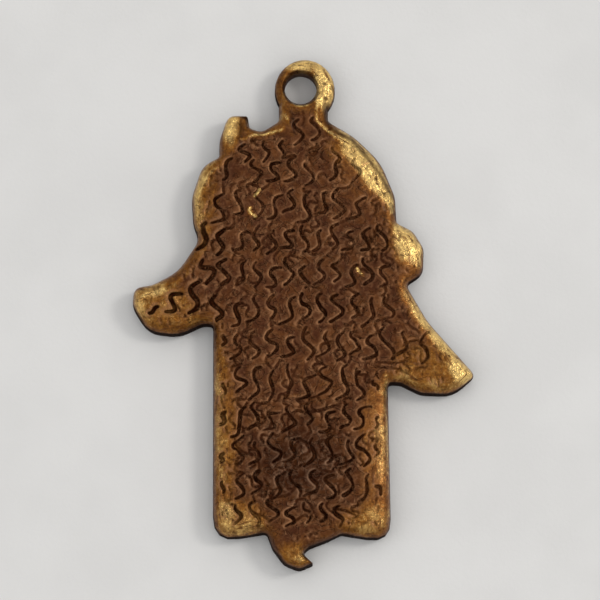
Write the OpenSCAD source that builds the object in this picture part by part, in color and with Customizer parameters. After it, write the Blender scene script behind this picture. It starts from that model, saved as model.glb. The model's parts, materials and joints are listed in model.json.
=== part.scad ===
// A cast hamsa pendant lying on its front: an open hand with three joined fingers and two
// flared thumbs, a side knob, a hooked tab and a curled tip, under a loop for a jump ring.
// Its back carries rows of sunk wave marks. It is one casting. Millimetres.
// +X is across the hand, +Y runs from the fingertips to the loop, +Z from the front to the back.

/* [Hand] */
// Width across the three joined fingers
fingers_w = 12.4; // [10:0.1:16]
// Height of the hand from the fingertips to the foot of the loop
hand_h = 30; // [27:0.1:38]
// Radius of the two outer fingertips
fingertip_r = 1.7; // [0.8:0.1:2.5]
// How far the right fingertip hangs below the foot of the middle finger
fingertip_drop = 0.25; // [0:0.05:0.6]
// How far the palm stands out past the fingers on the left
palm_left = 1.7; // [1:0.05:3.5]
// How far the palm stands out past the fingers on the right
palm_right = 0.5; // [0.2:0.05:1.5]

/* [Thumbs] */
// Reach of the left thumb past the fingers
left_thumb_l = 5.75; // [4:0.05:8]
// Height of the left thumb where it leaves the palm
left_thumb_h = 6; // [4.5:0.05:7]
// Height of the left thumb's lower crotch above the fingertips
left_crotch_y = 15.3; // [12:0.05:17]
// Reach of the right thumb past the fingers
right_thumb_l = 5.9; // [4:0.05:8]
// Height of the right thumb where it leaves the palm
right_thumb_h = 7; // [5.5:0.05:9]
// Height of the right thumb's lower crotch above the fingertips
right_crotch_y = 11; // [8:0.1:12]

/* [Knob, tab and curl] */
// How far the knob stands out past the fingers
knob_l = 2.4; // [1.5:0.1:3.5]
// Height of the knob
knob_h = 4.7; // [3.5:0.1:5.5]
// Width of the hooked tab on the left shoulder
tab_w = 2; // [1.4:0.05:3]
// Height of the hooked tab from its foot to its top
tab_h = 3.2; // [2.2:0.1:4.5]
// How far the tab's outer side lies inside the fingers' width
tab_inset = 0.35; // [0:0.05:1]
// How far the tab's foot lies below the foot of the loop
tab_foot = 2.8; // [2:0.1:3.5]
// Length of the curl under the middle finger
curl_l = 2.2; // [1.2:0.1:3.5]

/* [Loop] */
// Outer diameter of the loop, across
loop_d = 4.3; // [3.8:0.1:6]
// Diameter of the loop's hole
hole_d = 2.3; // [1.2:0.1:2.5]
// How far the loop's middle lies right of the hand's middle line
loop_shift = 0.2; // [-0.5:0.05:0.5]
// How far the hole lies left of the loop's middle
hole_shift = 0.3; // [0:0.05:0.4]
// How far the hole lies above the loop's middle
hole_rise = 0.1; // [0:0.05:0.3]
// Thickness of the loop
loop_t = 1.7; // [1.2:0.1:2]
// Width of the neck between the hand and the loop
neck_w = 3.5; // [2.8:0.1:4]
// Length of the neck from the shoulder to the middle of the loop
neck_l = 2.25; // [2:0.05:4]

/* [Section] */
// Thickness of the casting
thickness = 2.1; // [1.6:0.1:4]
// Width of the worn slope round the back
bevel_w = 1.8; // [0.8:0.05:2]

/* [Marks and grooves] */
// Length of a wave mark
mark_l = 2; // [1.2:0.05:2.2]
// Width of a wave mark
mark_w = 0.7; // [0.5:0.05:1.1]
// Width of the stroke of a wave mark
stroke_w = 0.22; // [0.12:0.02:0.3]
// Depth of a wave mark
mark_depth = 0.16; // [0.08:0.02:0.3]
// Width of a finger groove on the front at the fingertips
groove_w = 1; // [0.4:0.1:1.6]
// Length of a finger groove on the front
groove_l = 12; // [6:0.5:14]

/* [Hidden] */
$fn = 64;
overlap = 0.5;        // how far a cutter runs past the surface that it leaves
corner_steps = 4;     // straight runs in each rounded corner
sharpest_r = 0.05;    // radius that a corner keeps when a ring shrinks
side_share = 0.48;    // most of a side that the rounding of one of its corners takes
sharpest_turn = 150;  // turn past which a corner is rounded no further, in degrees
mitre_limit = 0.7;    // keeps the mitre of a sharp corner from running away
loop_stretch = 1.06;  // height of the loop as a share of its width
loop_edge = 0.38;     // radius of the loop's edges as a share of its thickness
loop_step = 15;       // angle between the points of the loop's edges, in degrees
flare_share = 0.16;   // depth of the flare at each mouth of the hole as a share of its diameter
groove_tip = 0.1;     // width of a finger groove at its far end as a share of its full width
left_tip_share = 0.8;  // drop of the left fingertip as a share of the right one's
right_tip_share = 1.4; // radius of the right fingertip as a share of the left one's
finger_w = fingers_w / 3;
side_x = fingers_w / 2;
waist_y = left_crotch_y + left_thumb_h;
knob_y = right_crotch_y + right_thumb_h;
notch_y = knob_y + knob_h;
tab_x = -side_x + tab_inset;
tab_y = hand_h - tab_foot;
neck_x = loop_shift / 2;
neck_foot_r = 0.5;    // radius where the neck meets the shoulder
neck_top_r = 0.1;     // radius of the neck's top corners, inside the loop
neck_right = neck_x + neck_w / 2;
loop_y = hand_h + neck_l;

// Every corner row below is [across, up, radius, bevel]: where the corner lies and how round it is,
// as shares of its feature's own width and height, and the share of the bevel that it carries.

// The curl, from the left foot of the middle finger round to its right foot
CURL = [
    [-0.10,  0.18, 0.13, 0.4],
    [ 0.00, -0.32, 0.60, 0.2],
    [ 0.19, -0.80, 0.52, 0.2],
    [ 0.45, -1.00, 0.35, 0.2],
    [ 0.70, -0.79, 0.05, 0.1],
    [ 0.52, -0.46, 0.09, 0.2],
    [ 0.62, -0.29, 0.22, 0.25],
    [ 0.94, -0.06, 0.35, 0.3],
    [ 1.16,  0.14, 0.15, 0.4]];

// The right thumb, from its lower crotch round its tip to the notch under the knob
RIGHT_THUMB = [
    [-0.03, 0.00, 0.05, 0.4],
    [0.12, -0.01, 0.06, 0.4],
    [0.36, -0.11, 0.26, 0.4],
    [0.75, -0.12, 0.31, 0.4],
    [1.02,  0.08, 0.07, 0.5],
    [0.45,  0.64, 0.89, 0.7],
    [0.20,  1.01, 0.05, 0.5]];

// The knob, from the notch under it to the notch over it
KNOB = [
    [0.98, 0.18, 0.22, 0.7],
    [1.01, 0.59, 0.25, 0.7],
    [0.70, 0.85, 0.25, 0.7],
    [0.21, 0.98, 0.08, 0.6]];

// The right shoulder, from the notch over the knob to the foot of the loop
RIGHT_SHOULDER = [
    [0.98, 0.25, 0.30, 0.9],
    [0.77, 0.60, 0.60, 1.0],
    [0.39, 0.85, 0.70, 0.8]];

// The saddle between the loop and the tab
SADDLE = [
    [0.43, 0.62, 0.42, 0.3],
    [0.05, 0.73, 0.08, 0.3]];

// The hooked tab, from its right top over to its left foot
TAB = [
    [1.00, 0.97, 0.04, 0.12],
    [0.28, 1.00, 0.24, 0.2],
    [-0.02, 0.44, 0.80, 0.25],
    [-0.02, 0.05, 0.11, 0.3]];

// The left shoulder, from the tab's foot down to the waist over the thumb
LEFT_SHOULDER = [
    [0.53, 0.92, 0.43, 0.4],
    [0.97, 0.53, 0.48, 0.4],
    [0.89, 0.19, 0.48, 0.4],
    [0.65, 0.00, 0.17, 0.4]];

// The left thumb, from the waist over it round its tip to its lower crotch
LEFT_THUMB = [
    [0.45,  0.62, 0.53, 0.4],
    [0.77,  0.46, 0.36, 0.4],
    [0.99,  0.43, 0.15, 0.3],
    [1.00,  0.19, 0.24, 0.4],
    [0.81, -0.11, 0.31, 0.5],
    [0.42, -0.15, 0.41, 0.5],
    [0.14, -0.02, 0.17, 0.45],
    [0.01, -0.02, 0.07, 0.4]];

// The section of the casting's edge, from the rim of the flat back to the rim of the flat front.
// Each row is [inset, height]: shares of the bevel's width and of the thickness.
EDGE = [
    [1.00, 1.00],
    [0.70, 0.97],
    [0.40, 0.90],
    [0.20, 0.79],
    [0.05, 0.62],
    [0.00, 0.42],
    [0.05, 0.14],
    [0.22, 0.00]];
KEEL = [1.06, 0.50];  // the edge section's inner point, inside the hand's flat core

// The wave marks on the back, a row for each band across the hand. Each row is [up, lean, reach, bold,
// stations]: the band's height as a share of the hand's, the lean of its marks in degrees, their length
// and the width of their stroke as shares of the full ones, and where they stand across the hand as
// shares of the fingers' width.
MARK_BANDS = [
    [0.968,   4, 1.05, 1.1, [-0.02, 0.07]],
    [0.920, -10, 0.75, 1.0, [-0.32, -0.21, -0.12, 0.20]],
    [0.870,  10, 0.95, 1.0, [-0.42, -0.26, -0.16, -0.06, 0.04, 0.20, 0.31]],
    [0.788,  14, 1.05, 1.0, [-0.48, -0.36, -0.25, -0.15, -0.06, 0.03, 0.12, 0.21, 0.31]],
    [0.708,  10, 1.05, 1.4, [-0.56, -0.46]],
    [0.703,  10, 0.90, 1.0, [-0.35, -0.26, -0.16, -0.07, 0.02, 0.10, 0.19, 0.28, 0.37, 0.46]],
    [0.630,  -8, 1.00, 1.5, [-0.53, -0.44]],
    [0.622,   6, 0.95, 1.0, [-0.34, -0.25, -0.16, -0.07, 0.02, 0.11, 0.20, 0.29, 0.38, 0.47]],
    [0.575,  12, 1.20, 1.6, [-0.61]],
    [0.548,  34, 1.00, 1.4, [-0.73]],
    [0.542,  40, 0.45, 1.0, [-0.84]],
    [0.535,   6, 1.00, 1.3, [-0.48, -0.37]],
    [0.540,   4, 1.00, 1.0, [-0.27, -0.17, -0.07, 0.02, 0.11, 0.20, 0.30, 0.39, 0.49]],
    [0.452,   4, 1.05, 1.0, [-0.37, -0.27, -0.17, -0.07, 0.03, 0.12, 0.21, 0.30, 0.39, 0.48, 0.57, 0.69]],
    [0.362,   8, 1.10, 1.0, [-0.35, -0.26, -0.17, -0.07, 0.03, 0.13, 0.23, 0.32]],
    [0.280,  12, 1.00, 1.0, [-0.36, -0.27, -0.17, -0.07, 0.04, 0.14, 0.24, 0.33]],
    [0.202,   6, 1.00, 1.0, [-0.35, -0.25, -0.15, -0.05, 0.05, 0.15, 0.25, 0.34]],
    [0.124,  10, 0.95, 1.0, [-0.34, -0.24, -0.14, -0.04, 0.06, 0.16, 0.26, 0.35]],
    [0.055,  -8, 0.80, 1.0, [-0.36, -0.26, -0.16, -0.07, 0.02, 0.11, 0.20]],
    [0.455,   6, 0.40, 1.1, [-0.44]],
    [0.355, -16, 0.40, 1.1, [-0.44, 0.41]],
    [0.275,  10, 0.45, 1.1, [-0.44, 0.42]],
    [0.195,   8, 0.40, 1.1, [-0.44, 0.42]],
    [0.120, -24, 0.40, 1.1, [-0.44, 0.43]]];
mark_steps = 6;     // straight runs in each half of a wave mark
mark_sweep = 185;   // angle that each half of a wave mark swings through
sweep_sway = 30;    // most that this angle differs from mark to mark
mark_phase = -24;   // angle that a wave mark's middle stands at in its swing
phase_sway = 34;    // most that this angle differs from mark to mark
mark_sway = 14;     // most that a mark turns away from its band's lean, in degrees
mark_drift = 0.22;  // most that a mark stands above or below its band
length_sway = 0.12; // most that a mark's length differs, as a share of it
width_sway = 0.2;   // most that its width differs, as a share of it
narrowing = 1.5;    // power of its length's share by which a short mark is narrower
mark_core = 0.6;    // share of a stroke's width that is drawn before it is grown to the full one
tip_share = 0.45;   // width of a mark's tip as a share of its stroke's

// A corner row placed on a feature whose foot is at (x, y) and whose size is w by h
function placed(rows, x, y, w, h) = [for (c = rows) [x + c[0] * w, y + c[1] * h, c[2] * abs(h), c[3]]];

// The hand's corners, anticlockwise from the left fingertip, before it is centred
function hand_corners() = concat(
    [[-side_x, -left_tip_share * fingertip_drop, fingertip_r, 0.45]],
    placed(CURL, -finger_w / 2, 0, finger_w, curl_l),
    [[side_x, -fingertip_drop, right_tip_share * fingertip_r, 0.4]],
    placed(RIGHT_THUMB, side_x, right_crotch_y, right_thumb_l, right_thumb_h),
    placed(KNOB, side_x, knob_y, knob_l, knob_h),
    placed(RIGHT_SHOULDER, neck_right, notch_y, side_x + palm_right - neck_right, hand_h - notch_y),
    neck_corners(),
    placed(SADDLE, tab_x + tab_w, tab_y, neck_x - neck_w / 2 - tab_x - tab_w, tab_h),
    placed(TAB, tab_x, tab_y, tab_w, tab_h),
    placed(LEFT_SHOULDER, -side_x, waist_y, -palm_left, tab_y - waist_y),
    placed(LEFT_THUMB, -side_x, left_crotch_y, -left_thumb_l, left_thumb_h));

// The neck, which runs up into the loop
function neck_corners() = [
    [neck_x + neck_w / 2, hand_h, neck_foot_r, 0.3],
    [neck_x + neck_w / 2, loop_y, neck_top_r, 0.3],
    [neck_x - neck_w / 2, loop_y, neck_top_r, 0.3],
    [neck_x - neck_w / 2, hand_h, neck_foot_r, 0.3]];

function flat(c) = [c[0], c[1]];
function unit(v) = v / norm(v);
function left_of(v) = [-v[1], v[0]];
function at(list, i) = list[(i + len(list)) % len(list)];

// The corners moved inwards by d, each by its own share, with their radii to suit
function inset(corners, d) = [for (i = [0 : len(corners) - 1])
    let (p = corners[i], a = flat(at(corners, i - 1)), b = flat(at(corners, i + 1)),
         e1 = unit(flat(p) - a), e2 = unit(b - flat(p)), n = left_of(e1) + left_of(e2),
         convex = e1[0] * e2[1] - e1[1] * e2[0] > 0, step = d * p[3],
         q = flat(p) + step * n / max(1 + e1 * e2, mitre_limit))
    [q[0], q[1], convex ? max(p[2] - step, sharpest_r) : p[2] + step, p[3]]];

// A closed ring of points that rounds each corner by a curve tangent to both its sides
function ring(corners) = [for (i = [0 : len(corners) - 1])
    let (p = flat(corners[i]), a = flat(at(corners, i - 1)), b = flat(at(corners, i + 1)),
         e1 = unit(p - a), e2 = unit(b - p),
         turn = abs(atan2(e1[0] * e2[1] - e1[1] * e2[0], e1 * e2)),
         t = min(corners[i][2] * tan(min(turn, sharpest_turn) / 2),
                 side_share * min(norm(p - a), norm(b - p))))
    for (j = [0 : corner_steps])
        let (s = j / corner_steps)
        (1 - s) * (1 - s) * (p - t * e1) + 2 * s * (1 - s) * p + s * s * (p + t * e2)];

CORNERS = hand_corners();
OUTLINE = ring(CORNERS);
ACROSS = [for (p = OUTLINE) p[0]];
UP = concat([for (p = OUTLINE) p[1]], [loop_y + loop_stretch * loop_d / 2]);
CENTRE = [(min(ACROSS) + max(ACROSS)) / 2, (min(UP) + max(UP)) / 2, 0];

// The moulding round the hand: the edge section swept along the outline, with its keel inside
module edge_moulding() {
    rows = concat(EDGE, [KEEL]);
    rings = [for (row = rows)
        [for (p = ring(inset(CORNERS, row[0] * bevel_w))) [p[0], p[1], row[1] * thickness]]];
    n = len(OUTLINE);
    m = len(rows);
    polyhedron(
        points = [for (r = rings) for (p = r) p],
        faces = [for (k = [0 : m - 1]) for (i = [0 : n - 1])
            let (a = k * n + i, b = k * n + (i + 1) % n,
                 c = (k + 1) % m * n + (i + 1) % n, d = (k + 1) % m * n + i)
            for (face = [[a, b, c], [a, c, d]]) face]);
}

// The hand's flat core, in two slabs that end on the rims of the flat back and the flat front
module core() {
    keel_z = KEEL[1] * thickness;
    translate([0, 0, keel_z])
        linear_extrude(thickness - keel_z)
            polygon(ring(inset(CORNERS, EDGE[0][0] * bevel_w)));
    linear_extrude(keel_z)
        polygon(ring(inset(CORNERS, EDGE[len(EDGE) - 1][0] * bevel_w)));
}

// The loop, before its hole is made: a disc with rounded edges
module loop() {
    edge_r = loop_t * loop_edge;
    arc_x = loop_d / 2 - edge_r;
    translate([loop_shift, loop_y, (thickness - loop_t) / 2])
        scale([1, loop_stretch, 1])
        rotate_extrude()
            polygon(concat(
                [[0, 0]],
                [for (a = [-90 : loop_step : 0]) [arc_x + edge_r * cos(a), edge_r + edge_r * sin(a)]],
                [for (a = [0 : loop_step : 90]) [arc_x + edge_r * cos(a), loop_t - edge_r + edge_r * sin(a)]],
                [[0, loop_t]]));
}

// The hole through the loop, with a worn flare at each mouth
module loop_hole() {
    flare = hole_d * flare_share;
    translate([loop_shift - hole_shift, loop_y + hole_rise, 0]) {
        translate([0, 0, -overlap])
            cylinder(d = hole_d, h = thickness + 2 * overlap);
        for (side = [-1, 1])
            translate([0, 0, thickness / 2 + side * loop_t / 2])
                mirror([0, 0, side < 0 ? 1 : 0])
                    translate([0, 0, -flare])
                        cylinder(d1 = hole_d, d2 = hole_d + 2 * flare, h = 2 * flare);
    }
}

// The grooves between the fingers on the front, which fade out towards the palm
module finger_grooves() {
    for (side = [-1, 1])
        translate([side * finger_w / 2, -overlap, 0])
            rotate([-90, 0, 0])
                cylinder(d1 = groove_w, d2 = groove_w * groove_tip, h = groove_l + overlap);
}

// A repeatable swing between -1 and 1, which keeps the marks from standing all alike
function swing(i, j) = sin(i * 137 + j * 211);

// A point on the middle line of a wave mark that is w wide and l long, whose halves swing through
// sweep degrees to each side of phase, s from -1 at its lower tip to 1 at its upper tip
function wave(s, w, l, sweep, phase) = [-w / 2 * sin(s * sweep + phase), l / 2 * s];

// Half the width of a stroke at s, narrowing to its tips
function half_stroke(s, stroke) = stroke / 2 * (1 - (1 - tip_share) * pow(abs(s), 3));

// The outline of a wave mark's stroke
function wave_stroke(w, l, sweep, phase, stroke) =
    let (n = 2 * mark_steps,
         mid = [for (k = [0 : n]) wave(k / mark_steps - 1, w, l, sweep, phase)],
         side = [for (k = [0 : n])
             let (along = unit(mid[min(k + 1, n)] - mid[max(k - 1, 0)]))
             left_of(along) * half_stroke(k / mark_steps - 1, stroke)])
    concat([for (k = [0 : n]) mid[k] - side[k]], [for (k = [n : -1 : 0]) mid[k] + side[k]]);

// The wave marks, as the cutters that sink them into the back. Their strokes are drawn thin and
// then grown, so that two that meet run into one.
module wave_marks() {
    translate([0, 0, thickness - mark_depth])
        linear_extrude(mark_depth + overlap)
            offset(delta = stroke_w * (1 - mark_core) / 2)
                for (i = [0 : len(MARK_BANDS) - 1])
                    mark_band(i, MARK_BANDS[i]);
}

module mark_band(i, band) {
    stations = band[4];
    for (j = [0 : len(stations) - 1])
        translate([stations[j] * fingers_w, band[0] * hand_h + mark_drift * swing(j, i)])
            rotate(-band[1] + mark_sway * swing(i, j))
                polygon(wave_stroke(
                    mark_w * min(pow(band[2], narrowing), 1) * (1 + width_sway * swing(i, 2 * j)),
                    mark_l * band[2] * (1 + length_sway * swing(2 * i, j)),
                    mark_sweep + sweep_sway * swing(i, 3 * j),
                    mark_phase + phase_sway * swing(3 * i, j),
                    stroke_w * band[3] * mark_core));
}

module hand_casting() {
    color("#8a6a3a")
        translate(-CENTRE)
            difference() {
                union() {
                    edge_moulding();
                    core();
                    loop();
                }
                loop_hole();
                finger_grooves();
                wave_marks();
            }
}

hand_casting();
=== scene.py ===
"""A cast hamsa pendant of antiqued brass, lying on its front so that its marked back shows.

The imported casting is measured, and one fine mesh is laid over it: the same outline, edges, hole and
marks, with the rounding, burrs, lumps and wear of a tumbled casting. Lengths in this file are
millimetres in the frame's own axes until a mesh is made, which is in metres.
"""

from __future__ import annotations

import json
import logging
import math
from collections.abc import Iterable, Sequence
from dataclasses import dataclass, field
from enum import Enum
from functools import reduce

import bmesh
import bpy
import numpy as np
from mathutils import Matrix, Vector, noise
from mathutils.bvhtree import BVHTree
from mathutils.geometry import delaunay_2d_cdt
from mathutils.kdtree import KDTree

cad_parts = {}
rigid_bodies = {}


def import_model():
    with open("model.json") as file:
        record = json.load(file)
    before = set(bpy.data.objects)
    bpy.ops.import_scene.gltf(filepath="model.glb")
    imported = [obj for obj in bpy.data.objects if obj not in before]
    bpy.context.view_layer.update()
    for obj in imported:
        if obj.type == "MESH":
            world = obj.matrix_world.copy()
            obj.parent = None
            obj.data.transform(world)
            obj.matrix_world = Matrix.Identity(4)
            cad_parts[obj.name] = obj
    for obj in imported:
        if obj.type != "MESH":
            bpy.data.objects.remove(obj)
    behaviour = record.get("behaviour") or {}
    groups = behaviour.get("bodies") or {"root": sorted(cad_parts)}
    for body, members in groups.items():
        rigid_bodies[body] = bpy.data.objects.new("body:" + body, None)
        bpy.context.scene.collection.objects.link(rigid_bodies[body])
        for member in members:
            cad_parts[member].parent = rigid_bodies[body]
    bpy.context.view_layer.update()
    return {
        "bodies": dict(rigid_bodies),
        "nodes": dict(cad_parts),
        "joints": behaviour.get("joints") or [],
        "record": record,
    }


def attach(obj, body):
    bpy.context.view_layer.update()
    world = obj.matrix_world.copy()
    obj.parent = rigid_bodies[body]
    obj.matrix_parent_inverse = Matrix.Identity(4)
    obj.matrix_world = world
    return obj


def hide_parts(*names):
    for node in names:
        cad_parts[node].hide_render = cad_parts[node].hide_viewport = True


MM = 0.001  # metres in a millimetre
TINY = 1e-9  # keeps a division clear of zero
NOISE_SHIFT = 31.7  # where in the endless noise the casting lies
NOISE_MIDDLE = 0.5  # what a noise texture gives on average
LEAST_SAMPLES = 8  # on a loop, however short it is
INNER_TRIANGLES = 1  # has the mesher keep the triangles inside the outer loop alone
MERGE = 1e-5  # distance at which the mesher takes two places for one
LOG = logging.getLogger("pendant")

Colour = tuple[float, float, float]
Point = tuple[float, float]
Fed = bpy.types.NodeSocket | float | Sequence[float]  # what a shader node's input may get


class Face(Enum):
    """The two faces of the casting, and which way each one looks along Z."""

    BACK = 1
    FRONT = -1


class Tone(Enum):
    """What a listed spot does to the finish."""

    # rubbed bare, which where the wear is high is also a painted highlight
    RUBBED_AND_PAINTED_HIGHLIGHT = "rubbed"
    # sooted, which in places is painted shade
    SOOTED_AND_PAINTED_SHADE = "sooted"
    WARM = "warm"


def smooth(value: np.ndarray, low: float | np.ndarray, high: float | np.ndarray) -> np.ndarray:
    """Rises smoothly from 0 at low to 1 at high."""
    share = np.clip((value - low) / (high - low), 0, 1)
    return share * share * (3 - 2 * share)


@dataclass(frozen=True)
class Ramp:
    """A smooth change over a range, from one level before it to another past it."""

    start: float
    end: float
    before: float = 0.0
    past: float = 1.0

    def at(self, values: np.ndarray) -> np.ndarray:
        """Gives the level at each value."""
        return self.before + (self.past - self.before) * smooth(values, self.start, self.end)


@dataclass(frozen=True)
class Lumps:
    """Smooth, repeatable unevenness over the casting."""

    size: float
    height: float = 1.0

    def at(self, flat: np.ndarray) -> np.ndarray:
        """Gives the unevenness at each place, between about minus and plus the height."""
        places = ((x / self.size + NOISE_SHIFT, y / self.size, NOISE_SHIFT) for x, y in flat)
        return self.height * np.array([noise.noise(place) for place in places])


@dataclass(frozen=True)
class Spot:
    """A soft oval on the back where the finish differs.

    across and up place its middle, half_across and half_up are its half sizes before it is turned by
    lean degrees, anticlockwise, and strength is what it adds at its middle.
    """

    name: str
    across: float
    up: float
    half_across: float
    half_up: float
    lean: float
    strength: float
    fall: Ramp = Ramp(0.25, 1.0, 1.0, 0.0)  # by the share of its half sizes

    def at(self, points: np.ndarray) -> np.ndarray:
        """Works out what the spot adds at each point.

        Args:
            points: Places on the casting, one row each, across and up first.

        Returns:
            The spot's share of its strength, which fades to nothing at its edge.
        """
        turn = math.radians(self.lean)
        dx, dy = points[:, 0] - self.across, points[:, 1] - self.up
        along = (dx * math.cos(turn) + dy * math.sin(turn)) / self.half_across
        side = (dy * math.cos(turn) - dx * math.sin(turn)) / self.half_up
        return self.strength * self.fall.at(np.hypot(along, side))


@dataclass(frozen=True)
class Line:
    """A crease or a ridge drawn over the back, through a few points.

    rise is its height, negative for a crease, width is its half width; its gilding is what it adds to the
    wear, which bares the metal and also paints highlights, and soot is what it adds to the dark patina, in
    places as painted shade.
    """

    name: str
    points: tuple[Point, ...]
    width: float
    rise: float
    gilt_and_painted_highlight: float = 0.0
    soot: float = 0.0

    def nearness(self, points: np.ndarray) -> np.ndarray:
        """Works out how near each point is to the line.

        Args:
            points: Places on the casting, one row each, across and up first.

        Returns:
            One on the line, falling to nothing at its half width.
        """
        best = np.full(len(points), np.inf)
        for start, end in zip(self.points, self.points[1:]):
            away, run = points[:, :2] - np.array(start), np.subtract(end, start)
            share = np.clip(away @ run / (run @ run), 0, 1)
            best = np.minimum(best, np.linalg.norm(away - share[:, None] * run, axis=1))
        return Ramp(0.0, self.width, 1.0, 0.0).at(best)


# Soft ovals of wear, warmth and soot; some of the wear is painted highlight and some of the soot painted
# shade
SPOTS: dict[Tone, tuple[Spot, ...]] = {
    Tone.RUBBED_AND_PAINTED_HIGHLIGHT: (
        Spot("left thumb", -9.6, 0.4, 3.4, 2.1, -8, 0.68),
        Spot("left dome", -6.9, 8.3, 1.5, 4.6, 0, 0.5),
        Spot("tab", -5.0, 12.8, 0.9, 1.9, 0, 0.75),
        Spot("saddle", -2.4, 13.7, 1.7, 0.5, 18, 0.5),
        # These seven are worn places that also paint the highlights on the rims and sides that face the
        # light
        Spot("right shoulder", 4.8, 10.1, 4.9, 1.3, -54, 1.3),
        Spot("loop's right", 1.5, 16.3, 1.0, 2.4, 0, 1.3),
        Spot("loop's top", 0.0, 17.9, 1.8, 0.9, 0, 0.8),
        Spot("knob", 7.5, 4.8, 1.9, 2.4, 0, 1.3),
        Spot("right thumb's edge", 8.8, -0.9, 4.4, 1.25, -52, 0.62),
        Spot("right thumb", 8.8, -3.9, 4.0, 2.4, -14, 0.6),
        Spot("right thumb's tip", 11.1, -4.5, 1.5, 1.0, -40, 0.75),
        Spot("left strip", -5.4, -9.3, 1.45, 8.0, 0, 0.6),
        Spot("right strip", 5.05, -9.8, 1.75, 6.8, 0, 0.62),
        Spot("left fingertip", -4.3, -14.9, 2.8, 2.1, 0, 0.72),
        Spot("right fingertip", 4.3, -15.0, 2.8, 1.9, 0, 0.6),
        Spot("curl", -0.5, -17.4, 1.6, 1.3, -30, 0.55),
        Spot("neck's foot", 2.5, 11.4, 2.0, 1.1, -42, 0.42),
        Spot("shoulder's inside", 4.1, 9.0, 4.4, 2.3, -54, 0.3),
    ),
    Tone.WARM: (
        Spot("right warmth", 5.6, -9.5, 2.2, 8.0, 0, 0.9),
        Spot("shoulder warmth", 4.6, 8.2, 2.2, 5.0, 30, 0.7),
        Spot("knob warmth", 7.2, 3.3, 2.2, 2.6, 0, 0.6),
        Spot("thumb's edge warmth", 8.3, -0.4, 3.8, 1.9, -52, 0.7),
    ),
    Tone.SOOTED_AND_PAINTED_SHADE: (
        Spot("fingers' soot", -0.2, -10.9, 5.2, 4.6, 0, 0.7),
        Spot("palm soot", 2.0, 3.0, 4.6, 6.0, 0, 0.12),
        Spot("tab's right side", -4.35, 13.1, 0.35, 0.9, 0, 0.6),
        Spot("tab's mottles", -5.1, 12.2, 0.4, 0.5, 30, 0.45),
        # painted shade: the dark of the steep outer slope beside the neck
        Spot("neck's outer slope", 1.75, 14.1, 0.5, 1.6, 4, 0.95),
        Spot("loop's upper pit", 1.57, 16.42, 0.28, 0.22, 30, 1.0),
        Spot("loop's lower pit", 1.6, 15.33, 0.26, 0.24, 0, 1.0),
        # painted shade on the loop's side that faces away from the light
        Spot("loop's left", -1.75, 16.2, 0.7, 1.7, 6, 0.3),
    ),
}

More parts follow.
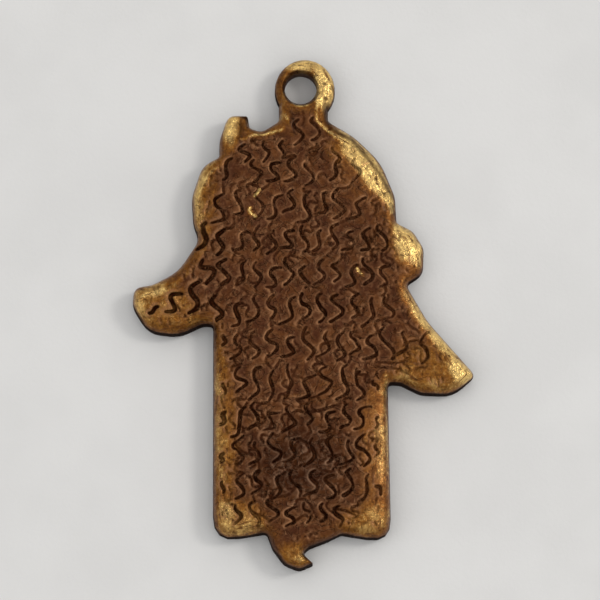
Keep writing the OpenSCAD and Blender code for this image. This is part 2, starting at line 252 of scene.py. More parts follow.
# Gilded lines bare the metal and paint thin highlights along the rims, ridges and flecks that catch the
# light; the soot of some is painted shade
LINES: tuple[Line, ...] = (
    Line("loop to shoulder ridge", ((1.2, 15.6), (0.9, 14.3), (1.0, 13.6), (1.9, 12.8), (3.3, 11.9)),
         0.17, 0.06, gilt_and_painted_highlight=0.9),
    Line("dome's rim", ((-5.65, 10.48), (-6.59, 9.84), (-7.14, 9.03), (-7.45, 8.07)),
         0.16, 0.02, gilt_and_painted_highlight=0.45),
    Line("dome's outer crease", ((-6.98, 8.23), (-7.12, 7.27), (-6.97, 6.24)), 0.13, -0.05, soot=0.55),
    Line("dome's inner crease", ((-5.97, 9.68), (-6.51, 9.03), (-6.71, 8.23), (-6.66, 7.1)),
         0.14, -0.05, soot=0.5),
    Line("tab seam", ((-4.45, 13.3), (-4.4, 12.4), (-4.35, 11.8)), 0.14, -0.1, soot=0.9),
    Line("tab notch", ((-4.1, 14.1), (-3.95, 13.7)), 0.2, -0.12, soot=1.0),
    Line("tab tip", ((-4.35, 13.95), (-3.95, 13.85)), 0.22, -0.1, soot=1.0),
    Line("saddle rim", ((-4.2, 12.3), (-3.45, 12.6), (-2.64, 12.66), (-1.35, 13.0)), 0.16, 0.04, gilt_and_painted_highlight=0.9),
    Line("neck's left ridge", ((-1.2, 14.1), (-0.95, 13.3), (-0.7, 12.5)), 0.13, 0.04, gilt_and_painted_highlight=0.6),
    Line("neck's left groove", ((-0.85, 14.3), (-0.65, 13.7), (-0.75, 13.2), (-0.55, 12.7)),
         0.15, -0.08, soot=0.9),
    Line("neck's right groove", ((-0.05, 14.4), (0.1, 13.9), (0.0, 13.3)), 0.15, -0.08, soot=0.9),
    Line("hole's lower lip", ((-0.75, 14.95), (-0.2, 14.72), (0.35, 14.8)), 0.13, 0.03, gilt_and_painted_highlight=0.8),
    # painted shade on the hole's inner wall under its left rim
    Line("hole's left rim", ((0.06, 17.4), (-0.59, 17.35), (-1.13, 16.97), (-1.41, 16.37), (-1.35, 15.72)),
         0.17, -0.02, soot=0.6),
    # painted glints on three flecks
    Line("fleck over", ((-3.05, 8.6), (-3.4, 8.15)), 0.19, 0.11, gilt_and_painted_highlight=2.2),
    Line("fleck under", ((-3.8, 7.2), (-3.6, 6.85), (-3.35, 6.65)), 0.19, 0.11, gilt_and_painted_highlight=2.2),
    Line("fleck by the knob", ((3.8, 2.9), (4.1, 2.5)), 0.17, 0.08, gilt_and_painted_highlight=1.6),
    Line("shoulder's nick", ((6.35, 7.6), (6.5, 6.9)), 0.17, -0.08, soot=1.0),
    Line("shoulder's nick edge", ((6.15, 7.5), (6.25, 7.0)), 0.12, 0.03, gilt_and_painted_highlight=1.3),
    Line("shoulder's lower crease", ((5.71, 7.54), (5.83, 6.96), (5.73, 6.39)), 0.14, -0.06, soot=0.75),
    # painted shade: the dark band of the steep outer slope
    Line("shoulder's outer slope", ((2.0, 13.1), (3.5, 12.3), (4.65, 10.9), (5.65, 9.5), (6.4, 8.15)),
         0.3, 0.0, soot=0.95),
    # painted highlights along the right edge and the left thumb's upper rim
    Line("right edge", ((5.82, -4.6), (5.83, -6.3), (6.0, -12.4), (6.0, -14.6)), 0.14, 0.02, gilt_and_painted_highlight=0.35),
    Line("left thumb's top", ((-11.3, 0.9), (-9.6, 1.35), (-7.9, 2.6), (-6.9, 4.2)), 0.22, 0.02, gilt_and_painted_highlight=0.4),
    Line("ledge over the fingers", ((-1.6, -6.3), (-0.4, -6.2), (1.4, -5.4), (2.4, -4.9)),
         0.3, 0.05, gilt_and_painted_highlight=0.25),
)

# Wandering strokes over the fingers and the right thumb, each charted by a few points
RUNS: tuple[tuple[Point, ...], ...] = (
    ((-0.96, -9.27), (-0.96, -8.67), (-1.11, -8.05), (-0.81, -7.52), (-0.37, -7.21), (0.15, -7.45),
     (0.9, -7.29), (1.79, -7.06), (2.69, -6.76)),
    ((-0.44, -11.25), (-0.52, -10.49), (-0.59, -9.73), (-0.14, -9.27), (0.23, -9.57), (0.75, -9.73)),
    ((-2.15, -7.14), (-2.53, -7.45), (-2.08, -8.05), (-2.53, -8.67)),
    ((-4.77, -9.12), (-4.69, -9.73), (-4.1, -10.26), (-3.35, -10.34), (-3.05, -11.02), (-3.05, -11.71),
     (-3.79, -12.01)),
    ((-1.94, -11.25), (-1.34, -11.33), (-0.81, -11.56), (-0.44, -10.94)),
    ((1.72, -10.49), (2.39, -10.41), (2.54, -10.94), (2.09, -11.41)),
    ((-1.78, -13.38), (-1.04, -13.23), (-0.59, -12.78), (-0.59, -12.16)),
    ((-0.59, -14.15), (-0.44, -13.54), (0.15, -13.46), (0.6, -13.99), (0.9, -14.75)),
    ((-3.57, -14.91), (-3.28, -14.52), (-2.75, -14.68), (-2.23, -15.06)),
    ((2.02, -14.15), (2.98, -14.3), (3.73, -14.68), (3.28, -14.91)),
    ((0.45, -16.13), (0.6, -15.82), (1.05, -15.97)),
    ((7.33, -0.99), (7.59, -1.34), (8.07, -1.57), (8.19, -1.83)),
    ((6.9, -2.76), (7.33, -2.4), (7.93, -2.27), (8.54, -2.45)),
    ((5.17, -3.81), (6.46, -3.9), (7.42, -3.64)),
    ((5.26, -4.16), (6.46, -4.26), (7.42, -4.7)),
    ((9.57, -3.25), (9.6, -3.62)),
)


def chained(edges: Iterable[tuple[int, int]]) -> list[list[int]]:
    """Strings edges into closed loops.

    Args:
        edges: Pairs of vertex numbers, each running the way that its loop runs.

    Returns:
        The loops, each as its vertex numbers in order.
    """
    onward: dict[int, list[int]] = {}
    for a, b in edges:
        onward.setdefault(a, []).append(b)
    loops = []
    while onward:
        first = next(iter(onward))
        loop, here = [first], first
        while here in onward:
            ends = onward[here]
            there = ends.pop()
            if not ends:
                del onward[here]
            if there == first:
                break
            loop.append(there)
            here = there
        loops.append(loop)
    return loops


def area(loop: np.ndarray) -> float:
    """Gives a loop's area, positive where it runs anticlockwise."""
    ahead = np.roll(loop, -1, axis=0)
    return 0.5 * float(np.sum(loop[:, 0] * ahead[:, 1] - ahead[:, 0] * loop[:, 1]))


def resampled(loop: np.ndarray, step: float) -> np.ndarray:
    """Spaces points evenly round a closed loop.

    Args:
        loop: The loop's corners.
        step: The distance wanted between points.

    Returns:
        The new points, the first at the loop's first corner.
    """
    closed = np.vstack([loop, loop[:1]])
    run = np.concatenate([[0], np.cumsum(np.linalg.norm(np.diff(closed, axis=0), axis=1))])
    count = max(LEAST_SAMPLES, round(run[-1] / step))
    stations = np.linspace(0, run[-1], count, endpoint=False)
    return np.column_stack([np.interp(stations, run, closed[:, k]) for k in range(2)])


def rounded(loop: np.ndarray, parts: int) -> np.ndarray:
    """Draws a smooth closed curve through the corners of a loop.

    Args:
        loop: The loop's corners.
        parts: How many pieces each side is cut into.

    Returns:
        The rounder loop.
    """
    before, ahead, beyond = (np.roll(loop, shift, axis=0) for shift in (1, -1, -2))
    rows = []
    for t in np.arange(parts) / parts:
        bend = (2 * before - 5 * loop + 4 * ahead - beyond) * t**2
        twist = (3 * loop - before - 3 * ahead + beyond) * t**3
        rows.append(0.5 * (2 * loop + (ahead - before) * t + bend + twist))
    return np.stack(rows, axis=1).reshape(-1, 2)


def unit(rows: np.ndarray) -> np.ndarray:
    """Scales each row to a length of one."""
    return rows / np.maximum(np.linalg.norm(rows, axis=1, keepdims=True), TINY)


def left_of(run: np.ndarray) -> np.ndarray:
    """Gives the unit vectors that point to the left of each step of a run."""
    return unit(np.column_stack([-run[:, 1], run[:, 0]]))


class Samples:
    """Points in a plane, and the search for the one that is nearest to a place."""

    def __init__(self, points: np.ndarray) -> None:
        """Plants the points in a search tree.

        Args:
            points: The points, one row each.
        """
        self.points = points
        self.tree = KDTree(len(points))
        for i, (x, y) in enumerate(points):
            self.tree.insert((x, y, 0), i)
        self.tree.balance()

    def nearest(self, places: np.ndarray) -> tuple[np.ndarray, np.ndarray]:
        """Finds the sample that is nearest to each place: the samples' numbers, and how far they are."""
        found = [self.tree.find((x, y, 0)) for x, y in places[:, :2]]
        return np.array([index for _, index, _ in found]), np.array([gap for _, _, gap in found])


class Border(Samples):
    """A set of closed loops that a place can be inside or outside of, with the distance to them."""

    ring_keep = 0.93  # an offset point stays if it lies this share of the inset from every stretch

    def __init__(self, loops: Sequence[np.ndarray], step: float) -> None:
        """Samples the loops.

        Args:
            loops: Closed loops, each with the inside on its left.
            step: The distance between samples.
        """
        even = [resampled(loop, step) for loop in loops]
        super().__init__(np.vstack(even))
        self.inward = np.vstack([left_of(np.roll(loop, -1, axis=0) - np.roll(loop, 1, axis=0))
                                 for loop in even])

    def depth(self, places: np.ndarray) -> np.ndarray:
        """Measures how deep inside the loops each place is.

        Args:
            places: Places, one row each, across and up first.

        Returns:
            The distance to the nearest loop, negative outside.
        """
        nearest, _ = self.nearest(places)
        away = places[:, :2] - self.points[nearest]
        inside = np.einsum("ij,ij->i", away, self.inward[nearest]) >= 0
        return np.where(inside, 1, -1) * np.linalg.norm(away, axis=1)

    def ring(self, inset: float) -> np.ndarray:
        """Offsets the loops, and drops what comes too near another stretch of them.

        Args:
            inset: How far inwards, negative for outwards, or 0 for the loops themselves.

        Returns:
            The points that are left.
        """
        if not inset:
            return self.points
        moved = self.points + inset * self.inward
        return moved[np.abs(self.depth(moved)) > self.ring_keep * abs(inset)]


class Outline(Border):
    """The casting's outline and its hole, as they measure and as the mesh follows them."""

    hole_reach = 1.35  # past the hole's wall, and short of the loop's outer edge

    def __init__(self, loops: Sequence[np.ndarray], step: float, mesh_step: float) -> None:
        """Samples both loops.

        Args:
            loops: The outer loop and the hole's.
            step: The distance between samples.
            mesh_step: The distance between the mesh's vertices along them.
        """
        super().__init__(loops, step)
        self.outer, self.hole = (resampled(loop, mesh_step) for loop in loops)
        self.low, self.high = self.outer.min(axis=0), self.outer.max(axis=0)

    def near_hole(self, places: np.ndarray) -> np.ndarray:
        """Tells which places lie at the hole's wall."""
        return np.linalg.norm(places[:, :2] - self.hole.mean(axis=0), axis=1) < self.hole_reach


class Strokes(Samples):
    """Free strokes of the engraver's tool: their middle lines, with half a width at each sample."""

    tip_loss = 0.5  # how much of its half width a stroke has lost at its tips

    def __init__(self, lines: Sequence[np.ndarray], half: float) -> None:
        """Samples the strokes.

        Args:
            lines: Their middle lines, evenly spaced points.
            half: Half of their width at the middle, which narrows to their tips.
        """
        super().__init__(np.vstack(lines))
        shares = np.concatenate([np.linspace(-1, 1, len(line)) for line in lines])
        self.half = half * (1 - self.tip_loss * np.abs(shares) ** 3)
        self.left = left_of(np.vstack([np.gradient(line, axis=0) for line in lines]))

    def depth(self, places: np.ndarray) -> np.ndarray:
        """Measures how deep inside the strokes each place is, negative outside."""
        nearest, gaps = self.nearest(places)
        return self.half[nearest] - gaps

    def toward(self, places: np.ndarray) -> np.ndarray:
        """Gives the unit vectors from each place to the nearest stroke."""
        nearest, _ = self.nearest(places)
        return unit(self.points[nearest] - places[:, :2])

    def row(self, share: float) -> np.ndarray:
        """Moves the middle lines aside by a share of the half width."""
        return self.points + share * self.half[:, None] * self.left


class Survey:
    """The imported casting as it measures: its surface, its outline and its sunk marks."""

    weld = 1e-4  # distance at which two vertices are one
    level_slack = 1e-3  # how far off its level the floor of a mark may measure
    level_normal = 0.9999  # least Z of its normal
    ray_start = 10.0  # how far off the surface a ray starts

    def __init__(self, node: bpy.types.Object, mark_depth: float) -> None:
        """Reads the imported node.

        Args:
            node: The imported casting.
            mark_depth: How deep its marks are sunk.
        """
        self.mesh = bmesh.new()
        self.mesh.from_mesh(node.data)
        bmesh.ops.scale(self.mesh, vec=(1 / MM,) * 3, verts=self.mesh.verts)
        bmesh.ops.remove_doubles(self.mesh, verts=self.mesh.verts, dist=self.weld)
        self.mesh.verts.ensure_lookup_table()
        self.mesh.faces.ensure_lookup_table()
        self.tree = BVHTree.FromBMesh(self.mesh)
        self.thickness = max(v.co.z for v in self.mesh.verts)
        self.floor = self.thickness - mark_depth

    def _on_floor(self, height: float, normal: Vector) -> bool:
        """Tells whether a hit lies on the floor of a mark."""
        return abs(height - self.floor) < self.level_slack and normal.z > self.level_normal

    def outline(self, height: float) -> list[np.ndarray]:
        """Cuts the casting level.

        Args:
            height: Where the cut is made.

        Returns:
            Its loops there, the outer one first, each with the metal on its left.
        """
        cut = self.mesh.copy()
        parts = [*cut.verts, *cut.edges, *cut.faces]
        made = bmesh.ops.bisect_plane(cut, geom=parts, plane_co=(0, 0, height), plane_no=(0, 0, 1))
        beside: dict[bmesh.types.BMVert, list[bmesh.types.BMVert]] = {}
        for edge in made["geom_cut"]:
            if isinstance(edge, bmesh.types.BMEdge):
                a, b = edge.verts
                beside.setdefault(a, []).append(b)
                beside.setdefault(b, []).append(a)
        loops = []
        while beside:
            here: bmesh.types.BMVert | None = next(iter(beside))
            loop = []
            while here is not None:
                loop.append(here.co.xy[:])
                ahead = beside.pop(here)
                here = next((v for v in ahead if v in beside), None)
            loops.append(np.array(loop))
        cut.free()
        loops.sort(key=lambda loop: -abs(area(loop)))
        return [loop if (area(loop) > 0) == (k == 0) else loop[::-1] for k, loop in enumerate(loops)]

    def marks(self) -> list[np.ndarray]:
        """Finds the outlines of the sunk marks.

        Returns:
            Their loops, each with the mark on its left.
        """
        floors = {f.index for f in self.mesh.faces
                  if self._on_floor(f.calc_center_median().z, f.normal)}
        runs = []
        for index in floors:
            for corner in self.mesh.faces[index].loops:
                if sum(f.index in floors for f in corner.edge.link_faces) == 1:
                    runs.append((corner.vert.index, corner.link_loop_next.vert.index))
        return [np.array([self.mesh.verts[i].co.xy[:] for i in loop]) for loop in chained(runs)]

    def height(self, x: float, y: float, face: Face) -> float | None:
        """Feels for the surface straight down on a face of the casting.

        Args:
            x: Where, across.
            y: Where, up.
            face: The face that is felt.

        Returns:
            The surface's height, or None past the casting and on the floor of a mark.
        """
        start = Vector((x, y, self.ray_start * face.value))
        place, normal, _, _ = self.tree.ray_cast(start, Vector((0, 0, -face.value)))
        if place is None or self._on_floor(place.z, normal):
            return None
        return place.z


@dataclass
class Scatter:
    """Collects the places of a mesh's vertices and keeps them from crowding."""

    cell: float = 0.12
    points: list[Point] = field(default_factory=list)
    cells: dict[tuple[int, int], list[int]] = field(default_factory=dict)

    def add(self, points: np.ndarray, gap: float) -> None:
        """Adds the places that keep their distance from those before them.

        Args:
            points: The places, one row each.
            gap: The least distance, at most the size of a cell.
        """
        around = [(di, dj) for di in (-1, 0, 1) for dj in (-1, 0, 1)]
        for x, y in points:
            i, j = int(x // self.cell), int(y // self.cell)
            near = (self.points[k] for di, dj in around for k in self.cells.get((i + di, j + dj), ()))
            if all(math.hypot(a - x, b - y) >= gap for a, b in near):
                self.cells.setdefault((i, j), []).append(len(self.points))
                self.points.append((float(x), float(y)))


@dataclass(frozen=True)
class Links:
    """Strokes that run on from one mark's foot to another's head."""

    seed: int = 11
    reach: tuple[float, float] = (0.35, 1.15)  # nearest and farthest
    chance: float = 0.35
    left_end: float = -7.0  # there are none left of it
    bow: float = 0.3
    least: int = 5  # samples on the shortest

    def drawn(self, marks: Sequence[np.ndarray], step: float) -> list[np.ndarray]:
        """Draws the strokes.

        Args:
            marks: The outlines of the marks.
            step: The distance between samples.

        Returns:
            Their middle lines.
        """
        rng = np.random.default_rng(self.seed)
        near, far = self.reach
        feet = [mark[mark[:, 1].argmin()] for mark in marks]
        heads = [mark[mark[:, 1].argmax()] for mark in marks]
        lines = []
        for i, foot in enumerate(feet):
            others = heads[:i] + heads[i + 1:]
            reachable = [head for head in others if near < np.linalg.norm(head - foot) < far]
            if reachable and foot[0] > self.left_end and rng.random() < self.chance:
                head = reachable[rng.integers(len(reachable))]
                side = rng.uniform(-self.bow, self.bow, 2)
                count = max(self.least, round(np.linalg.norm(head - foot) / step))
                share = np.linspace(0, 1, count)[:, None]
                lines.append((1 - share) * foot + share * head + 4 * share * (1 - share) * side)
        return lines


@dataclass(frozen=True)
class Strays:
    """Wandering strokes where the field has room for them."""

    seed: int = 23
    count: int = 150
    heading: tuple[float, float] = (-1.75, 0.55)  # mean and spread, in radians
    length: tuple[float, float] = (0.35, 1.9)
    swing: tuple[float, float] = (0.7, 1.4)  # how far the heading sways, in radians
    beat: tuple[float, float] = (3.5, 5.0)  # how fast it sways, in radians a millimetre
    inset: float = 0.9  # least distance to the outline
    clearance: float = 0.16  # least distance to a mark
    fingers_top: float = -3.0  # all are kept below it
    chance: float = 0.55  # and this share over it

    def drawn(self, edge: Outline, marks: Border, step: float) -> list[np.ndarray]:
        """Draws the strokes.

        Args:
            edge: The casting's outline.
            marks: The marks.
            step: The distance between samples.

        Returns:
            Their middle lines.
        """
        rng = np.random.default_rng(self.seed)
        lines: list[np.ndarray] = []
        while len(lines) < self.count:
            here = rng.uniform(edge.low, edge.high)
            heading = rng.normal(*self.heading)
            length = rng.uniform(*self.length)
            swing, beat, start = rng.uniform(*self.swing), rng.uniform(*self.beat), rng.uniform(0, math.tau)
            path = [here]
            for k in range(round(length / step)):
                turn = heading + swing * math.sin(start + beat * k * step)
                path.append(path[-1] + step * np.array([math.cos(turn), math.sin(turn)]))
            line = np.array(path)
            middle = line[len(line) // 2][None]
            wanted = here[1] < self.fingers_top or rng.random() < self.chance
            if wanted and edge.depth(line).min() > self.inset and marks.depth(middle)[0] < -self.clearance:
                lines.append(line)
        return lines


@dataclass(frozen=True)
class Dashes:
    """Short nicks that stand beside the rims."""

    seed: int = 41
    count: int = 70
    heading: tuple[float, float] = (-1.6, 0.35)  # mean and spread, in radians
    samples: tuple[int, int] = (3, 7)
    inset: tuple[float, float] = (0.62, 1.35)  # nearest to the outline and farthest from it
    top: float = 12.5
    clearance: float = 0.15  # least distance to a mark

    def drawn(self, edge: Outline, marks: Border, step: float) -> list[np.ndarray]:
        """Draws the nicks.

        Args:
            edge: The casting's outline.
            marks: The marks.
            step: The distance between samples.

        Returns:
            Their middle lines.
        """
        rng = np.random.default_rng(self.seed)
        near, far = self.inset
        lines: list[np.ndarray] = []
        while len(lines) < self.count:
            here = rng.uniform(edge.low, edge.high)
            heading = rng.normal(*self.heading)
            steps = np.arange(rng.integers(*self.samples))[:, None] * step
            line = here + steps * np.array([math.cos(heading), math.sin(heading)])
            inset = edge.depth(line)
            beside_rim = inset.min() > near and inset.max() < far and here[1] < self.top
            if beside_rim and marks.depth(line).max() < -self.clearance:
                lines.append(line)
        return lines


@dataclass
class Engraving:
    """The sunk marks as they were struck, and the free strokes over, between and beside them."""

    depth: float = 0.16
    valley: float = 0.11  # distance from a mark's edge to its full depth
    uneven: Lumps = Lumps(2.1, 0.35)  # how the depth changes from place to place
    corner_parts: int = 4
    sample_step: float = 0.085
    swell: Ramp = Ramp(-6.6, -4.4, 0.045, 0.012)  # how much broader than drawn, by the place across
    shrink: float = 0.94
    tip_curl: float = 8.0  # degrees that a mark's tips curl round its middle
    vigour: Lumps = Lumps(0.37)
    warps: tuple[Lumps, ...] = (Lumps(0.75, 0.16), Lumps(2.6, 0.2))
    warp_shift: float = 17.0  # sets apart the warps across and up
    warp_up: Ramp = Ramp(-9.0, -3.0, 1.35, 1.0)  # more over the fingers
    warp_across: Ramp = Ramp(-8.6, -6.2, 0.15, 1.0)  # less on the left thumb
    links: Links = Links()
    strays: Strays = Strays()
    dashes: Dashes = Dashes()
    stroke_half: float = 0.095
    stroke_depth: float = 0.1
    stroke_step: float = 0.07
    run_passes: int = 6  # how often a charted run is smoothed
    burr_rise: float = 0.045
    burr_gap: float = 0.085  # distance from a mark's edge to the crest of its burr
    burr_width: float = 0.065
    burr_side: Ramp = Ramp(-0.45, 0.5, 0.3, 1.0)  # more where the mark lies on its right
    burr_uneven: Lumps = Lumps(0.9, 0.5)
    rings: tuple[float, ...] = (0.0, 0.05, 0.1, -0.05, -0.095, -0.17)  # insets of the mesh's rings
    ring_gap: float = 0.032
    rows: tuple[float, ...] = (0.0, 1.0, -1.0, 1.6, -1.6)  # shares of a stroke's half width
    row_gap: float = 0.045
    marks: Border = field(init=False)
    strokes: Strokes = field(init=False)

    def cut(self, survey: Survey, edge: Outline) -> None:
        """Takes the marks from the survey, and draws the strokes.

        Args:
            survey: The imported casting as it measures.
            edge: Its outline.
        """
        struck = [self._struck(rounded(loop, self.corner_parts)) for loop in survey.marks()]
        self.marks = Border(struck, self.sample_step)
        lines = self._runs() + self.links.drawn(struck, self.stroke_step)
        for kind in (self.strays, self.dashes):
            lines += kind.drawn(edge, self.marks, self.stroke_step)
        self.strokes = Strokes(lines, self.stroke_half)

    def _struck(self, loop: np.ndarray) -> np.ndarray:
        """Bends a mark a little, as no two are struck alike.

        Args:
            loop: The mark's outline.

        Returns:
            The bent outline.
        """
        wild = self.warp_up.at(loop[:, 1]) * self.warp_across.at(loop[:, 0])
        middle = loop.mean(axis=0)
        away = loop - middle
        reach = np.linalg.norm(away, axis=1)
        vigour = 1 + self.vigour.at(middle[None])[0]
        turn = -math.radians(self.tip_curl) * vigour * (reach / reach.max()) ** 3
        across = away[:, 0] * np.cos(turn) - away[:, 1] * np.sin(turn)
        up = away[:, 0] * np.sin(turn) + away[:, 1] * np.cos(turn)
        moved = middle + self.shrink * np.stack([across, up], axis=1)
        for warp in self.warps:
            for axis in range(2):
                moved[:, axis] += wild * warp.at(loop + self.warp_shift * (axis + 1))
        return moved

    def _runs(self) -> list[np.ndarray]:
        """Draws the charted strokes over the fingers and the right thumb.

        Returns:
            Their middle lines.
        """
        lines = []
        for points in RUNS:
            path = np.array(points)
            along = np.concatenate([[0], np.linalg.norm(np.diff(path, axis=0), axis=1).cumsum()])
            at = np.arange(0, along[-1], self.stroke_step)
            line = np.stack([np.interp(at, along, path[:, axis]) for axis in range(2)], axis=1)
            for _ in range(self.run_passes):
                line[1:-1] = 0.5 * line[1:-1] + 0.25 * (line[:-2] + line[2:])
            lines.append(line)
        return lines

    def mesh_rows(self) -> list[tuple[np.ndarray, float]]:
        """Gives the places that the mesh needs along the marks and the strokes, with their least gap."""
        rings = [(self.marks.ring(inset), self.ring_gap) for inset in self.rings]
        return rings + [(self.strokes.row(share), self.row_gap) for share in self.rows]

    def in_mark(self, places: np.ndarray) -> np.ndarray:
        """Works out how far inside a mark each place is, negative outside."""
        return self.marks.depth(places) + self.swell.at(places[:, 0])

    def relief(self, flat: np.ndarray, in_mark: np.ndarray) -> np.ndarray:
        """Sinks the marks with rounded sides, and raises a burr along each.

        Args:
            flat: The places.
            in_mark: How far inside a mark each one is.

        Returns:
            What the marks add to the height.
        """
        in_stroke = self.strokes.depth(flat)
        sunk = [full * (1 - (1 - np.clip(inside / slope, 0, 1)) ** 2) for full, inside, slope in (
            (self.depth, in_mark, self.valley), (self.stroke_depth, in_stroke, self.stroke_half))]
        sink = np.maximum(*sunk) * (1 + self.uneven.at(flat))
        return self.burr_rise * self.burr(flat, in_mark, in_stroke) - sink

    def burr(self, flat: np.ndarray, in_mark: np.ndarray, in_stroke: np.ndarray) -> np.ndarray:
        """Works out where the burrs stand, which the engraver's tool threw up mostly on the left; the
        lighter colour that follows them is also painted light on the side of each mark where the light
        falls.

        Args:
            flat: The places.
            in_mark: How far inside a mark each one is.
            in_stroke: How far inside a stroke each one is.

        Returns:
            The share of the burrs' full height.
        """
        inside = np.maximum(in_mark, in_stroke)
        nearest, _ = self.marks.nearest(flat)
        to_mark, to_stroke = self.marks.inward[nearest][:, 0], self.strokes.toward(flat)[:, 0]
        one_sided = self.burr_side.at(np.where(in_mark > in_stroke, to_mark, to_stroke))
        ridge = np.exp(-(((inside + self.burr_gap) / self.burr_width) ** 2)) * (inside < 0)
        return ridge * one_sided * (1 + self.burr_uneven.at(flat))


@dataclass(frozen=True)
class Wear:
    """Where the finish is rubbed, sooted or warm, where highlights and shade are painted in, and how dark
    the marks and the walls are.
    """

    on_back: Ramp = Ramp(0.5, 0.75)  # by the height's share of the thickness
    rim: Ramp = Ramp(0.25, 1.25, 1.0, 0.0)  # by the depth inside the outline
    rim_wander: Lumps = Lumps(0.8, 0.25)
    rim_up: Ramp = Ramp(-7.0, -5.4, 0.4, 1.0)  # less over the fingers
    rim_strength: float = 0.55
    most: float = 1.3
    shaded_way: Point = (-0.3, -1.0)  # the way that the sides with painted shade face, down and a little left, away from the light
    # how much painted shade a side gets, by how far it faces that way
    low: Ramp = Ramp(0.1, 0.8)
    # the side walls are dark: patina, with painted shade
    wall: Ramp = Ramp(0.4, 0.6, 1.0, 0.0)  # by the height's share of the thickness
    wall_reach: float = 0.03  # how far the walls' dark patina and painted shade reach in, and how much farther on the shaded sides
    wall_more: float = 0.04
    wall_uneven: Lumps = Lumps(0.7, 0.03)
    wall_fade: tuple[float, float] = (0.7, 1.4)  # shares of the reach
    # how much of the walls' dark patina and painted shade the hole's wall gets
    hole_wall: float = 0.4
    mark_dark: Ramp = Ramp(-0.065, 0.055)  # by the depth inside a mark
    stroke_dark: Ramp = Ramp(-0.055, 0.06, 0.0, 0.8)
    bold_across: Ramp = Ramp(-7.5, -4.0, 1.0, 0.68)  # more on the left
    bold_up: Ramp = Ramp(-9.0, -3.0, 0.3, 0.0)  # more over the fingers
    bold_uneven: tuple[Lumps, ...] = (Lumps(1.6, 0.42), Lumps(0.45, 0.22))
    bold_range: tuple[float, float] = (0.2, 1.1)
    strip_inset: Ramp = Ramp(0.9, 1.6, 0.35, 0.0)  # fainter marks on the fingers' strips
    strip_up: Ramp = Ramp(-6.0, -4.5, 1.0, 0.0)
    patches: Lumps = Lumps(0.8)
    patch_shift: float = 5.0
    patchy: Ramp = Ramp(-0.35, 0.3, 0.35, 1.0)  # the burrs' brightness by the patches

    def layers(self, places: np.ndarray, thickness: float, edge: Outline,
               engraving: Engraving) -> dict[str, np.ndarray]:
        """Works out the values that the materials read.

        Args:
            places: The mesh's vertices.
            thickness: The casting's thickness.
            edge: Its outline.
            engraving: Its marks.

        Returns:
            The values of each layer, by its name.
        """
        flat, share = places[:, :2], places[:, 2] / thickness
        back, inside = self.on_back.at(share), edge.depth(places)
        # how far each place faces away from the light, for the painted shade
        low_side = self.low.at(-edge.inward[edge.nearest(places)[0]] @ np.array(self.shaded_way))
        in_mark, in_stroke = engraving.in_mark(places), engraving.strokes.depth(places)
        marked = np.maximum(self.mark_dark.at(in_mark), self.stroke_dark.at(in_stroke))
        spots = {tone: sum(spot.at(places) for spot in group) for tone, group in SPOTS.items()}
        gilt_and_painted_highlight = sum(line.gilt_and_painted_highlight * line.nearness(places) for line in LINES)
        soot = sum(line.soot * line.nearness(places) for line in LINES)
        rim = self.rim.at(inside + self.rim_wander.at(flat)) * self.rim_up.at(places[:, 1])
        patchy = self.patchy.at(self.patches.at(flat + self.patch_shift))
        reach = self.wall_reach + self.wall_more * low_side + self.wall_uneven.at(flat)
        near, far = self.wall_fade
        walls = np.maximum(self.wall.at(share), 1 - smooth(inside, near * reach, far * reach))
        return {
            # wear bares the metal and, where it is high, paints a highlight; some spots and gilded lines
            # are painted highlights on the rims and sides that face the light
            "wear": back * np.clip(self.rim_strength * rim + spots[Tone.RUBBED_AND_PAINTED_HIGHLIGHT] + gilt_and_painted_highlight, 0, self.most),
            # soot: dark patina, and painted shade on the loop's left, the outer slopes and the hole's rim
            "soot": np.clip(spots[Tone.SOOTED_AND_PAINTED_SHADE] + back * soot, 0, 1),
            "warmth": np.clip(spots[Tone.WARM], 0, 1),
            # walls: dark patina with painted shade
            "wall": np.where(edge.near_hole(places), self.hole_wall, 1.0) * walls,
            # how much a place faces away from the light, which deepens the painted shade on the walls
            "low_side": low_side,
            "recess": back * self._boldness(flat, inside) * marked,
            # lip: the rubbed burrs, lighter, and also painted light on the side of each mark where the
            # light falls
            "lip": back * patchy * engraving.burr(flat, in_mark, in_stroke),
            "inset": inside,
        }

    def _boldness(self, flat: np.ndarray, inside: np.ndarray) -> np.ndarray:
        """Works out how dark a mark would be at each place.

        Args:
            flat: The places.
            inside: How far inside the outline each one is.

        Returns:
            The share of the full dark.
        """
        across, up = flat.T
        bold = self.bold_across.at(across) + self.bold_up.at(up)
        bold += sum(lumps.at(flat) for lumps in self.bold_uneven)
        return np.clip(bold, *self.bold_range) * (1 - self.strip_inset.at(inside) * self.strip_up.at(up))


def into_scene(name: str, data: bpy.types.ID) -> bpy.types.Object:
    """Puts an object into the scene.

    Args:
        name: Its name.
        data: Its mesh, light or camera.

    Returns:
        The object.
    """
    made = bpy.data.objects.new(name, data)
    bpy.context.scene.collection.objects.link(made)
    return made


